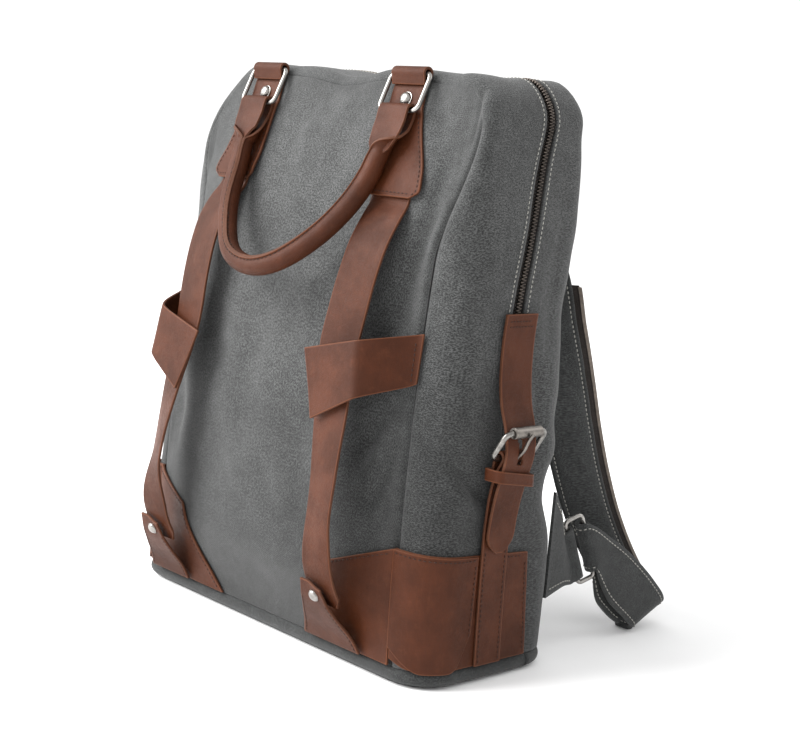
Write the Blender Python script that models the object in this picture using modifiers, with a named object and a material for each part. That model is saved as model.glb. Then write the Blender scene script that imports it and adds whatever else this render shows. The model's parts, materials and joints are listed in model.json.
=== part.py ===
"""A travel backpack in washed canvas with leather straps, standing on its base.

The base rests on z = 0. The front faces -Y, the right side faces +X, and lengths are in metres.
The bag leans back a little: its front and back panels follow front_y() and back_y(), its sides
half_width(), and every sewn or hanging piece is placed from those surfaces.
"""

import bisect
import math

import bmesh
import bpy
from mathutils import Matrix, Vector

# Body of the bag
HEIGHT = 0.420
BASE_WIDTH = 0.340
TOP_WIDTH = 0.315
BASE_DEPTH = 0.130
FRONT_LEAN = 0.046
FRONT_SWELL = 0.014
BACK_LEAN = 0.010
BACK_SWELL = 0.005
SIDE_SWELL = 0.0018
FRONT_BULGE = 0.024
FRONT_SEAM = 0.140
TOP_Z = 0.417
RIGHT_CORNER = 0.032
LEFT_CORNER_WIDTH = 0.060
LEFT_CORNER_DROP = 0.095
FRONT_CORNER = 0.029
BACK_CORNER = 0.027
TOP_EDGE = 0.008
PANEL_BOTTOM = 0.0128

# Sheet goods
CANVAS = 0.0020
LEATHER = 0.0020
TAPE = 0.0010
GAP = 0.0004

# Zip
ZIP_SETBACK = 0.059
ZIP_OPENING = 0.011
ZIP_BOTTOM = 0.252
ZIP_RIB = 10 / 60
TOOTH_WIDTH = 0.0045
SLIDER_Z = 0.283

# Handle and its rings
RING_X = 0.080
RING_TOP = Vector((0.0, -0.0275, 0.4150))
RING_LOW = Vector((0.0, -0.0392, 0.3890))
RING_INSIDE = 0.0365
RING_WIRE = 0.0017
PATCH_BOTTOM = 0.328

# Straps
FRONT_STRAP = 0.035
SIDE_STRAP = 0.030
SHOULDER_STRAP = 0.044
BUCKLE_WIRE = 0.0020
ROLLER_RADIUS = 0.0040
RIVET_HOLE = 0.0016

CANVAS_GREY = (0.150, 0.158, 0.162)
STRAP_GREY = (0.070, 0.074, 0.073)
LINING_GREY = (0.080, 0.085, 0.095)
BROWN = (0.190, 0.062, 0.030)
TAPE_BROWN = (0.035, 0.022, 0.018)

parts = None
cutters = None


# ---------------------------------------------------------------- scene and materials

def clear_scene():
    for obj in list(bpy.data.objects):
        bpy.data.objects.remove(obj, do_unlink=True)


def new_collection(name):
    group = bpy.data.collections.new(name)
    bpy.context.scene.collection.children.link(group)
    return group


def material(name, colour, roughness, metallic=0.0):
    found = bpy.data.materials.get(name)
    if found:
        return found
    made = bpy.data.materials.new(name)
    made.use_nodes = True
    shader = made.node_tree.nodes["Principled BSDF"]
    shader.inputs["Base Color"].default_value = (*colour, 1.0)
    shader.inputs["Roughness"].default_value = roughness
    shader.inputs["Metallic"].default_value = metallic
    made.diffuse_color = (*colour, 1.0)
    return made


def canvas():
    return material("canvas", CANVAS_GREY, 0.95)


def strap_canvas():
    return material("strap_canvas", STRAP_GREY, 0.95)


def lining():
    return material("lining", LINING_GREY, 0.9)


def leather():
    return material("leather", BROWN, 0.55)


def nickel():
    return material("nickel", (0.62, 0.60, 0.57), 0.28, 1.0)


def gunmetal():
    return material("gunmetal", (0.36, 0.33, 0.31), 0.42, 1.0)


def zip_tape():
    return material("zip_tape", TAPE_BROWN, 0.9)


def zip_metal():
    return material("zip_metal", (0.32, 0.22, 0.17), 0.4, 1.0)


# ---------------------------------------------------------------- making solids

def add_object(name, data, look, group=None):
    obj = bpy.data.objects.new(name, data)
    data.materials.append(look)
    (group or parts).objects.link(obj)
    return obj


def shade(mesh):
    mesh.shade_smooth()
    mesh.set_sharp_from_angle(angle=math.radians(40))


def round_edges(obj, width, segments=2):
    bevel = obj.modifiers.new("edges", "BEVEL")
    bevel.width = width
    bevel.segments = segments
    bevel.limit_method = "ANGLE"
    bevel.angle_limit = math.radians(50)
    bevel.use_clamp_overlap = True


def sheet(name, look, place, across, along, thickness, edge=0.0005):
    """A sheet of even thickness whose middle surface is place(a, b), with a and b from 0 to 1."""
    grid = bmesh.new()
    bmesh.ops.create_grid(grid, x_segments=across, y_segments=along, size=0.5)
    for vert in grid.verts:
        vert.co = place(vert.co.x + 0.5, vert.co.y + 0.5)
    mesh = bpy.data.meshes.new(name)
    grid.to_mesh(mesh)
    grid.free()
    mesh.shade_smooth()
    obj = add_object(name, mesh, look)
    solid = obj.modifiers.new("thickness", "SOLIDIFY")
    solid.thickness = thickness
    solid.offset = 0.0
    if edge:
        round_edges(obj, edge, 1)
    return obj


def band(name, look, place, around, thickness):
    """A closed band: place(a, b) goes once round as a goes from 0 to 1, and across it with b."""
    loop = bmesh.new()
    bmesh.ops.create_cone(loop, cap_ends=False, segments=around, radius1=1.0, radius2=1.0, depth=1.0)
    for vert in loop.verts:
        turn = math.atan2(vert.co.y, vert.co.x) / (2.0 * math.pi)
        vert.co = place(turn % 1.0, vert.co.z + 0.5)
    mesh = bpy.data.meshes.new(name)
    loop.to_mesh(mesh)
    loop.free()
    mesh.shade_smooth()
    obj = add_object(name, mesh, look)
    solid = obj.modifiers.new("thickness", "SOLIDIFY")
    solid.thickness = thickness
    solid.offset = 0.0
    round_edges(obj, 0.0004, 1)
    return obj


def wire(name, look, points, radius, closed=False, group=None):
    """A round wire through the points, with filled ends."""
    curve = bpy.data.curves.new(name, "CURVE")
    curve.dimensions = "3D"
    curve.bevel_depth = radius
    curve.bevel_resolution = 2
    curve.use_fill_caps = True
    line = curve.splines.new("POLY")
    line.points.add(len(points) - 1)
    for slot, point in zip(line.points, points):
        slot.co = (*point, 1.0)
    line.use_cyclic_u = closed
    line.use_smooth = True
    return add_object(name, curve, look, group)


def plate(name, look, outline, bottom, thickness, edge=0.0005):
    """A flat plate of the outline, a list of (x, y), from z = bottom upwards."""
    curve = bpy.data.curves.new(name, "CURVE")
    curve.dimensions = "2D"
    curve.fill_mode = "BOTH"
    curve.extrude = thickness / 2
    line = curve.splines.new("POLY")
    line.points.add(len(outline) - 1)
    for slot, (x, y) in zip(line.points, outline):
        slot.co = (x, y, 0.0, 1.0)
    line.use_cyclic_u = True
    obj = add_object(name, curve, look)
    obj.location.z = bottom + thickness / 2
    return obj


def turned(name, look, profile, frame, group=None, steps=20):
    """A solid turned about the local Z axis from (radius, height) pairs running top to bottom."""
    mesh = bpy.data.meshes.new(name)
    edges = [(i, i + 1) for i in range(len(profile) - 1)]
    mesh.from_pydata([(radius, 0.0, height) for radius, height in profile], edges, [])
    obj = add_object(name, mesh, look, group)
    screw = obj.modifiers.new("turn", "SCREW")
    screw.steps = steps
    screw.render_steps = steps
    screw.use_merge_vertices = True
    screw.merge_threshold = 0.00002
    screw.use_smooth_shade = True
    obj.matrix_world = frame
    return obj


def box(name, look, size, frame, group=None):
    cube = bmesh.new()
    bmesh.ops.create_cube(cube, size=1.0, matrix=Matrix.Diagonal((*size, 1.0)))
    mesh = bpy.data.meshes.new(name)
    cube.to_mesh(mesh)
    cube.free()
    obj = add_object(name, mesh, look, group)
    obj.matrix_world = frame
    return obj


def cutter_rod(name, radius, length, frame):
    """A rod along the frame's Z axis that bores a hole."""
    half = length / 2
    profile = [(0.0, half), (radius, half), (radius, -half), (0.0, -half)]
    rod = turned(name, leather(), profile, frame, cutters, 16)
    rod.hide_render = True
    rod.display_type = "WIRE"
    return rod


def cutter_box(name, size, frame):
    block = box(name, leather(), size, frame, cutters)
    block.hide_render = True
    block.display_type = "WIRE"
    return block


def cut(obj, tool):
    hole = obj.modifiers.new("hole_" + tool.name, "BOOLEAN")
    hole.operation = "DIFFERENCE"
    hole.object = tool
    hole.solver = "EXACT"


def frame_at(origin, forward, up=Vector((0.0, 0.0, 1.0))):
    """A placing matrix whose local Z points forward."""
    z_axis = forward.normalized()
    x_axis = up.cross(z_axis).normalized()
    y_axis = z_axis.cross(x_axis)
    rotation = Matrix((x_axis, y_axis, z_axis)).transposed().to_4x4()
    return Matrix.Translation(origin) @ rotation


# ---------------------------------------------------------------- curves and easing

def mix(a, b, t):
    return a + (b - a) * t


def ease(low, high, value):
    t = min(max((value - low) / (high - low), 0.0), 1.0)
    return t * t * (3.0 - 2.0 * t)


class Path:
    """A smooth line through the points, measured along its length. Extra values may be carried along it."""

    def __init__(self, points, carried=None, per_span=10):
        points = [Vector(point) for point in points]
        carried = [Vector(value) for value in carried] if carried else [Vector((0.0, 0.0, 0.0))] * len(points)
        self.spots = [points[0]]
        self.values = [carried[0]]
        for i in range(len(points) - 1):
            before = points[i - 1] if i else points[0] * 2 - points[1]
            after = points[i + 2] if i + 2 < len(points) else points[-1] * 2 - points[-2]
            for step in range(1, per_span + 1):
                share = step / per_span
                self.spots.append(curve_point(before, points[i], points[i + 1], after, share))
                self.values.append(carried[i].lerp(carried[i + 1], share))
        self.reach = [0.0]
        for start, end in zip(self.spots, self.spots[1:]):
            self.reach.append(self.reach[-1] + (end - start).length)

    def find(self, t):
        target = min(max(t, 0.0), 1.0) * self.reach[-1]
        i = min(max(bisect.bisect_left(self.reach, target), 1), len(self.reach) - 1)
        return i, (target - self.reach[i - 1]) / (self.reach[i] - self.reach[i - 1])

    def at(self, t):
        i, share = self.find(t)
        return self.spots[i - 1].lerp(self.spots[i], share)

    def value(self, t):
        i, share = self.find(t)
        return self.values[i - 1].lerp(self.values[i], share)

    def way(self, t):
        return (self.at(t + 0.01) - self.at(t - 0.01)).normalized()


def curve_point(p0, p1, p2, p3, share):
    """A point between p1 and p2 of the centripetal curve through the four points."""
    first, middle, last = ((b - a).length ** 0.5 for a, b in ((p0, p1), (p1, p2), (p2, p3)))
    leave = ((p1 - p0) / first - (p2 - p0) / (first + middle) + (p2 - p1) / middle) * middle
    arrive = ((p2 - p1) / middle - (p3 - p1) / (middle + last) + (p3 - p2) / last) * middle
    square, cube = share ** 2, share ** 3
    return (p1 * (2 * cube - 3 * square + 1) + leave * (cube - 2 * square + share)
            + p2 * (3 * square - 2 * cube) + arrive * (cube - square))


def rounded_box(half_a, half_b, radius, count):
    """Points round a rectangle with round corners, anticlockwise."""
    found = []
    for quarter in range(4):
        a = (half_a - radius) * (1 if quarter in (0, 3) else -1)
        b = (half_b - radius) * (1 if quarter in (0, 1) else -1)
        for step in range(count + 1):
            angle = math.pi / 2 * (quarter + step / count)
            found.append((a + radius * math.cos(angle), b + radius * math.sin(angle)))
    return found


# ---------------------------------------------------------------- the bag's surfaces

def rise(z):
    return min(max(z / HEIGHT, 0.0), 1.0)


def swell(z):
    return 4.0 * rise(z) * (1.0 - rise(z))


def half_width(z):
    return mix(BASE_WIDTH, TOP_WIDTH, rise(z)) / 2 + SIDE_SWELL * swell(z)


def front_y(z):
    return -BASE_DEPTH / 2 + FRONT_LEAN * rise(z) - FRONT_SWELL * swell(z)


def back_y(z):
    return BASE_DEPTH / 2 + BACK_LEAN * rise(z) + BACK_SWELL * swell(z)


def front_radius(z):
    return mix(FRONT_CORNER, TOP_EDGE, ease(0.290, 0.375, z))


def back_radius(z):
    return mix(BACK_CORNER, TOP_EDGE * 2, ease(0.290, 0.375, z))


def front_bulge(x, z):
    upright = max(math.sin(math.pi * rise(z) ** 0.62), 0.0) ** 0.85 * ease(0.008, 0.070, z)
    across = max(1.0 - (x / FRONT_SEAM) ** 2, 0.0) ** 0.75
    return FRONT_BULGE * upright * across


def front_at(x, z, lift=0.0):
    """A point lift in front of the front panel."""
    def depth(px, pz):
        return front_y(pz) - front_bulge(px, pz)

    step = 0.001
    slope_x = (depth(x + step, z) - depth(x - step, z)) / (2 * step)
    slope_z = (depth(x, z + step) - depth(x, z - step)) / (2 * step)
    outward = Vector((slope_x, -1.0, slope_z)).normalized()
    return Vector((x, depth(x, z), z)) + outward * lift


def side_at(side, y, z, lift=0.0):
    """A point lift outside the flat of a side gusset."""
    return Vector((side * (half_width(z) + lift), y, z))


def wrap_at(side, reach, z, lift=0.0):
    """A point of the side at height z, reach along the gusset from the front seam."""
    radius = front_radius(z)
    quarter = math.pi / 2 * radius
    angle = min(reach / radius, math.pi / 2)
    outward = Vector((math.sin(angle), -math.cos(angle), 0.0))
    x = half_width(z) - radius * (1.0 - math.sin(angle))
    y = front_y(z) + radius * (1.0 - math.cos(angle)) + max(reach - quarter, 0.0)
    point = Vector((x, y, z)) + outward * lift
    return Vector((side * point.x, point.y, point.z))


def outline_route():
    """The bag's edge seen from the front, as (x, z), from the right foot over the top to the left foot."""
    points = []
    corner_z = TOP_Z - RIGHT_CORNER
    for step in range(31):
        z = mix(PANEL_BOTTOM, corner_z, step / 30)
        points.append((half_width(z), z))
    centre_x = half_width(corner_z) - RIGHT_CORNER
    for step in range(1, 9):
        angle = math.pi / 2 * step / 8
        points.append((centre_x + RIGHT_CORNER * math.cos(angle), corner_z + RIGHT_CORNER * math.sin(angle)))
    left_z = TOP_Z - LEFT_CORNER_DROP
    left_x = LEFT_CORNER_WIDTH - half_width(left_z)
    for step in range(1, 20):
        points.append((mix(centre_x, left_x, step / 20), TOP_Z))
    for step in range(15):
        angle = math.pi / 2 * (1 + step / 14)
        x = left_x + LEFT_CORNER_WIDTH * math.cos(angle)
        points.append((x, left_z + LEFT_CORNER_DROP * math.sin(angle)))
    for step in range(1, 26):
        z = mix(left_z, PANEL_BOTTOM, step / 25)
        points.append((-half_width(z), z))
    return [Vector(point) for point in points]


ROUTE = outline_route()
REACHES = [0.0]
for start, end in zip(ROUTE, ROUTE[1:]):
    REACHES.append(REACHES[-1] + (end - start).length)
ROUTE_LENGTH = REACHES[-1]


def route_at(u):
    """The outline's point and outward direction, u from 0 at the right foot to 1 at the left foot."""
    def point(share):
        reach = min(max(share, 0.0), 1.0) * ROUTE_LENGTH
        i = max(1, next((n for n, far in enumerate(REACHES) if far >= reach), len(ROUTE) - 1))
        part = (reach - REACHES[i - 1]) / (REACHES[i] - REACHES[i - 1])
        return ROUTE[i - 1].lerp(ROUTE[i], part)

    ahead = point(u + 0.004) - point(u - 0.004)
    return point(u), Vector((ahead.y, -ahead.x)).normalized()


def gusset_spans(u):
    """The gusset at u: its point, outward direction, radii, front depth and straight length."""
    point, outward = route_at(u)
    front, back = front_radius(point.y), back_radius(point.y)
    near = front_y(point.y - outward.y * front)
    far = back_y(point.y - outward.y * back)
    return point, outward, front, back, near, far - back - near - front


def gusset_at(u, reach, lift=0.0):
    """A point of the gusset at u along the outline and reach back from the front seam."""
    point, outward, front, back, near, straight = gusset_spans(u)
    quarter = math.pi / 2 * front
    if reach < quarter:
        angle = reach / front
        inward = front * (1.0 - math.sin(angle))
        y = near + front * (1.0 - math.cos(angle))
        lean, turn = math.sin(angle), -math.cos(angle)
    elif reach < quarter + straight:
        inward = 0.0
        y = near + front + reach - quarter
        lean, turn = 1.0, 0.0
    else:
        angle = (reach - quarter - straight) / back
        inward = back * (1.0 - math.cos(angle))
        y = near + front + straight + back * math.sin(angle)
        lean, turn = math.cos(angle), math.sin(angle)
    shift = lean * lift - inward
    return Vector((point.x + outward.x * shift, y + turn * lift, point.y + outward.y * shift))


def gusset_depth(u):
    point, outward, front, back, near, straight = gusset_spans(u)
    return math.pi / 2 * (front + back) + straight


def zip_reach(u):
    """How far back from the front seam the zip's middle runs at u."""
    front = gusset_spans(u)[2]
    return math.pi / 2 * front + ZIP_SETBACK - front


def zip_half_opening(u):
    """Half the canvas opening: the zip's width above its lower ends, and closed below them."""
    return mix(0.0005, ZIP_OPENING / 2, ease(ZIP_BOTTOM - 0.008, ZIP_BOTTOM, route_at(u)[0].y))


def route_share(z, side):
    """The outline's u at height z on one side, below the corners."""
    if side > 0:
        return (z - PANEL_BOTTOM) / ROUTE_LENGTH
    return 1.0 - (z - PANEL_BOTTOM) / ROUTE_LENGTH


def side_strap_y(z):
    """The middle line of the side straps, which lie over the line of the zip."""
    return front_y(z) + ZIP_SETBACK


# ---------------------------------------------------------------- canvas body

def panel_edge(u, radius_of):
    """The seam of a front or back panel at u, as (x, z), kept a little inside the gusset."""
    point, outward = route_at(u)
    return point - outward * (radius_of(point.y) + 0.0012)


def panel(name, radius_of, depth_of, look):
    """A front or back panel that fills the outline's seam: four seam stretches blended into a patch."""
    right_end = (TOP_Z - RIGHT_CORNER - PANEL_BOTTOM + RIGHT_CORNER * math.pi / 4) / ROUTE_LENGTH
    left_end = 1.0 - (TOP_Z - LEFT_CORNER_DROP * 0.55 - PANEL_BOTTOM) / ROUTE_LENGTH

    def place(a, share):
        b = share ** 1.35
        right = panel_edge(b * right_end, radius_of)
        left = panel_edge(1.0 - b * (1.0 - left_end), radius_of)
        top = panel_edge(mix(left_end, right_end, a), radius_of)
        foot_left, foot_right = panel_edge(1.0, radius_of), panel_edge(0.0, radius_of)
        head_left, head_right = panel_edge(left_end, radius_of), panel_edge(right_end, radius_of)
        foot = foot_left.lerp(foot_right, a)
        corners = foot.lerp(head_left.lerp(head_right, a), b)
        spot = left.lerp(right, a) + foot.lerp(top, b) - corners
        return Vector((spot.x, depth_of(spot.x, spot.y), spot.y))

    return sheet(name, look, place, 15, 20, CANVAS, 0.0)


def make_panels():
    panel("front_panel", front_radius, lambda x, z: front_y(z) - front_bulge(x, z), canvas())
    panel("back_panel", back_radius, lambda x, z: back_y(z), canvas())


def rib(b):
    """The outline's u at b along the gussets: even steps along the zip, longer ones below its two ends."""
    low = route_share(ZIP_BOTTOM, 1)
    if b < ZIP_RIB:
        return low * b / ZIP_RIB
    if b > 1.0 - ZIP_RIB:
        return 1.0 - low * (1.0 - b) / ZIP_RIB
    return mix(low, 1.0 - low, (b - ZIP_RIB) / (1.0 - 2.0 * ZIP_RIB))


def make_gussets():
    def front(a, share):
        b = rib(share)
        return gusset_at(b, mix(GAP, zip_reach(b) - zip_half_opening(b), a))

    def back(a, share):
        b = rib(share)
        return gusset_at(b, mix(zip_reach(b) + zip_half_opening(b), gusset_depth(b) - GAP, a))

    sheet("front_gusset", canvas(), front, 6, 60, CANVAS, 0.0)
    sheet("back_gusset", canvas(), back, 5, 60, CANVAS, 0.0)


def base_outline(inset):
    """The rounded outline of the base, drawn in by inset."""
    half_x, half_y = half_width(0.0) - inset, BASE_DEPTH / 2 - inset
    return rounded_box(half_x, half_y, FRONT_CORNER - inset, 6)


def make_base():
    floor = plate("base_panel", canvas(), base_outline(0.002), 0.0, 0.0026)
    round_edges(floor, 0.0008, 2)
    ring = [(x, y, 0.0075) for x, y in base_outline(0.001)]
    wire("base_piping", canvas(), ring, 0.0042, True)
    board = plate("base_board", lining(), base_outline(0.012), 0.0032, 0.0030)
    round_edges(board, 0.0006, 1)


def make_inside():
    """The foam behind the back panel and the open sleeve pocket sewn to it."""
    def pad(a, b):
        z = mix(0.035, 0.375, b)
        return Vector((mix(-0.118, 0.118, a), back_y(z) - 0.0062, z))

    def sleeve(a, b):
        z = mix(0.030, 0.270, b)
        bow = math.sin(math.pi * a) ** 0.5
        return Vector((mix(-0.115, 0.115, a), back_y(z) - 0.0125 - 0.018 * bow, z))

    sheet("back_foam_pad", lining(), pad, 3, 8, 0.0080, 0.0015)
    sheet("inner_sleeve", lining(), sleeve, 9, 6, 0.0015, 0.0)


# ---------------------------------------------------------------- zip

def make_zip():
    def tape(sign):
        def place(a, b):
            u = rib(mix(ZIP_RIB, 1.0 - ZIP_RIB, b))
            return gusset_at(u, zip_reach(u) + sign * mix(0.0003, 0.0115, a), -0.0021)
        return place

    def chain(a, b):
        u = mix(route_share(ZIP_BOTTOM + 0.002, 1), route_share(SLIDER_Z - 0.004, -1), b)
        return gusset_at(u, zip_reach(u) + TOOTH_WIDTH * (a - 0.5), 0.0004)

    sheet("zip_tape_front", zip_tape(), tape(-1), 1, 40, TAPE, 0.0)
    sheet("zip_tape_back", zip_tape(), tape(1), 1, 40, TAPE, 0.0)
    sheet("zip_teeth", zip_metal(), chain, 1, 60, 0.0021, 0.0)


def slider_frame():
    """The zip slider's frame on the left side: local Z outward, local Y up along the zip."""
    low, high = SLIDER_Z - 0.02, SLIDER_Z + 0.05
    foot = side_at(-1, side_strap_y(low), low)
    head = side_at(-1, side_strap_y(high), high)
    along = (head - foot).normalized()
    outward = Vector((-1.0, 0.0, 0.0))
    outward = (outward - along * outward.dot(along)).normalized()
    across = along.cross(outward)
    origin = side_at(-1, side_strap_y(SLIDER_Z), SLIDER_Z)
    return Matrix.Translation(origin) @ Matrix((across, along, outward)).transposed().to_4x4()


def make_slider():
    frame = slider_frame()
    body = box("zip_slider", gunmetal(), (0.0095, 0.0130, 0.0018), frame @ Matrix.Translation((0, 0, 0.0028)))
    round_edges(body, 0.0006, 2)
    arch = [(0.0, 0.0045, 0.0030), (0.0, 0.0040, 0.0058), (0.0, 0.0, 0.0074), (0.0, -0.0040, 0.0058),
            (0.0, -0.0045, 0.0030)]
    curve = Path(arch)
    path = [frame @ curve.at(step / 16) for step in range(17)]
    bridge = wire("slider_bridge", gunmetal(), path, 0.0009, group=cutters)
    solid = mesh_from_curve(bridge)
    solid.hide_render = True
    solid.display_type = "WIRE"
    join = body.modifiers.new("bridge", "BOOLEAN")
    join.operation = "UNION"
    join.object = solid
    join.solver = "EXACT"

    pivot = Vector((0.0, -0.0011, 0.0050))
    eye = [(0.0022 * math.cos(turn), 0.0022 * math.sin(turn) - 0.0031) for turn in circle_turns(16)]
    tab = bpy.data.curves.new("zip_pull", "CURVE")
    tab.dimensions = "2D"
    tab.fill_mode = "BOTH"
    tab.extrude = 0.0007
    outer = [(0.0036 * math.cos(turn), 0.0036 * math.sin(turn) - 0.0031) for turn in circle_turns(20)[:11]]
    outer += [(-0.0030, -0.0075), (-0.0036, -0.0185), (-0.0018, -0.0215), (0.0018, -0.0215), (0.0036, -0.0185),
              (0.0030, -0.0075)]
    for ring in (outer, eye):
        line = tab.splines.new("POLY")
        line.points.add(len(ring) - 1)
        for slot, (x, y) in zip(line.points, ring):
            slot.co = (x, y, 0.0, 1.0)
        line.use_cyclic_u = True
    pull = add_object("zip_pull", tab, gunmetal())
    pull.matrix_world = frame @ Matrix.Translation(pivot)


def circle_turns(count):
    return [2.0 * math.pi * step / count for step in range(count)]


def mesh_from_curve(obj):
    """Replaces a curve object by a welded mesh of the same name, so that a Boolean can use it."""
    name, group = obj.name, obj.users_collection[0]
    graph = bpy.context.evaluated_depsgraph_get()
    mesh = bpy.data.meshes.new_from_object(obj.evaluated_get(graph))
    weld = bmesh.new()
    weld.from_mesh(mesh)
    bmesh.ops.remove_doubles(weld, verts=weld.verts, dist=0.00001)
    weld.to_mesh(mesh)
    weld.free()
    world = obj.matrix_world.copy()
    bpy.data.objects.remove(obj, do_unlink=True)
    solid = bpy.data.objects.new(name, mesh)
    solid.matrix_world = world
    group.objects.link(solid)
    return solid


# ---------------------------------------------------------------- leather on the front

def patch_edge(z):
    """Half width of a ring patch at height z: narrow under the ring, wide and rounded at its foot."""
    wide = mix(0.0262, 0.0168, ease(PATCH_BOTTOM, 0.405, z))
    tuck = 0.010 * (1.0 - ease(PATCH_BOTTOM - 0.001, PATCH_BOTTOM + 0.009, z)) ** 2
    return wide - tuck


def make_ring_patches():
    """Each patch runs up the front, loops forward over the ring's top bar and is tucked behind itself."""
    for side, word in ((1, "right"), (-1, "left")):
        middle = side * RING_X
        bar = RING_TOP
        loop_radius = RING_WIRE + 0.0010 + LEATHER / 2
        face_top = front_at(middle, 0.402, 0.0026)
        route = [front_at(middle, mix(PATCH_BOTTOM, 0.392, step / 14), 0.0026) for step in range(15)]
        route.append(Vector((middle, mix(face_top.y, bar.y, 0.35) - 0.0005, 0.4035)))
        for step in range(9):
            angle = math.radians(mix(10, 205, step / 8))
            route.append(Vector((middle, bar.y + loop_radius * math.cos(angle), bar.z + loop_radius * math.sin(angle))))
        route.append(Vector((middle, bar.y - loop_radius + 0.0014, bar.z - 0.0080)))

        flat_share = 0.064 / 0.105

        def place(a, b, path=Path(route), centre=middle, sign=side):
            spot = path.at(b)
            lean = sign * 0.011 * (1.0 - ease(PATCH_BOTTOM, 0.400, spot.z))
            reach = (a - 0.5) * 2.0 * patch_edge(spot.z)
            lift = mix(0.0054, 0.0026, ease(PATCH_BOTTOM + 0.006, PATCH_BOTTOM + 0.026, spot.z))
            lying = front_at(centre + reach + lean, spot.z, lift)
            return lying.lerp(spot + Vector((reach, 0.0, 0.0)), ease(flat_share - 0.08, flat_share, b))

        obj = sheet("ring_patch_" + word, leather(), place, 5, 24, LEATHER)
        stud_frame = stud_place(side)
        cut(obj, cutter_rod("stud_hole_" + word, RIVET_HOLE, 0.012, stud_frame))


def stud_place(side):
    spot = front_at(side * RING_X, 0.3955, 0.0)
    outward = front_at(side * RING_X, 0.3955, 0.01) - spot
    return frame_at(spot + outward.normalized() * 0.0026, outward)


def make_studs():
    for side, word in ((1, "right"), (-1, "left")):
        half = LEATHER / 2 + 0.0007
        dome = [(0.0048 * math.sin(turn), half + 0.0028 * math.cos(turn)) for turn in quarter_turns(4)]
        shank, foot = RIVET_HOLE - 0.0003, -LEATHER / 2
        profile = dome + [(0.0048, half), (shank, half), (shank, foot), (0.0, foot)]
        turned("patch_stud_" + word, nickel(), profile, stud_place(side))


def quarter_turns(count):
    return [math.pi / 2 * step / count for step in range(count)]


def ring_points(low, top, inside, wire_radius, centre_x, corner):
    """A rounded rectangle whose long bars run along X at low and top."""
    half_x = inside / 2 + wire_radius
    span = top - low
    half_v = span.length / 2
    up = span.normalized()
    middle = (low + top) / 2
    found = []
    for a, b in rounded_box(half_x, half_v, corner, 5):
        found.append(Vector((centre_x + a, middle.y + up.y * b, middle.z + up.z * b)))
    return found


def make_rings():
    for side, word in ((1, "right"), (-1, "left")):
        points = ring_points(RING_LOW, RING_TOP, RING_INSIDE, RING_WIRE, side * RING_X, 0.0055)
        wire("handle_ring_" + word, nickel(), points, RING_WIRE, True)


# Half of the handle's centre line, from its lowest point out to the right ring.
HANDLE_ROUTE = [(0.0, -0.0975, 0.2730), (0.027, -0.0945, 0.2790), (0.052, -0.0815, 0.2980),
                (0.068, -0.0680, 0.3200), (0.0755, -0.0560, 0.3450), (0.0775, -0.0505, 0.3590)]


def make_handle():
    """A rolled leather grip, and the two flat ends that loop round the rings' lower bars."""
    curve = Path(HANDLE_ROUTE)
    half = [curve.at(step / 16) for step in range(17)]
    left = [Vector((-point.x, point.y, point.z)) for point in reversed(half[1:])]
    wire("handle", leather(), left + half, 0.0072)
    for side, word in ((1, "right"), (-1, "left")):
        bar = RING_LOW
        reach = RING_WIRE + 0.0010 + LEATHER / 2
        down = (Vector(HANDLE_ROUTE[-1]) - bar)
        down.x = 0.0
        down.normalize()
        out = Vector((0.0, down.z, -down.y))
        if out.y > 0.0:
            out.negate()
        front = [(0.0400, 0.0096), (0.030, 0.0094), (0.020, 0.0078), (0.009, 0.0048)]
        back = [(0.007, -0.0036), (0.016, -0.0030)]
        centre = bar.copy()
        route = [centre + down * far + out * lift for far, lift in front]
        for step in range(7):
            angle = math.radians(mix(0, 180, step / 6))
            route.append(centre + out * reach * math.cos(angle) - down * reach * math.sin(angle))
        route += [centre + down * far + out * lift for far, lift in back]

        def place(a, b, path=Path(route), sign=side):
            spot = path.at(b)
            width = mix(0.013, 0.029, ease(0.0, 0.40, b)) * mix(0.45, 1.0, ease(-0.02, 0.07, b))
            drift = sign * mix(0.0768, RING_X, ease(0.0, 0.5, b))
            return spot + Vector((drift + (a - 0.5) * width, 0.0, 0.0))

        sheet("handle_end_" + word, leather(), place, 3, 18, LEATHER)


# The right front strap's centre line from its tuck under the ring patch down to its rivet.
STRAP_ROUTE = [(0.0890, front_at(0.089, 0.339, 0.0024).y, 0.3390),
               (0.0905, front_at(0.0905, 0.326, 0.0028).y, 0.3260),
               (0.0920, -0.0580, 0.3150), (0.0925, -0.0700, 0.2950),
               (0.0910, -0.0805, 0.2600), (0.0890, -0.0875, 0.2200), (0.0935, -0.0940, 0.1800),
               (0.0975, -0.1005, 0.1400), (0.0997, -0.1048, 0.1000), (0.0998, -0.1030, 0.0790),
               (0.1000, -0.0975, 0.0630), (0.1000, -0.0885, 0.0480)]
STRAP_TWIST = {1: (6.0, -12.0), -1: (-6.0, -26.0)}
TAB_ROUTE = [(-0.0716, 0.0140), (-0.0775, 0.0250), (-0.0895, 0.0400), (-0.0990, 0.0540), (-0.1030, 0.0660)]
TAB_PATH = Path([(0.0, y, z) for y, z in TAB_ROUTE])
TAB_FOOT = {1: (0.0530, 0.1170), -1: (-0.1440, -0.0920)}
TAB_RIVET = 0.84


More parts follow.
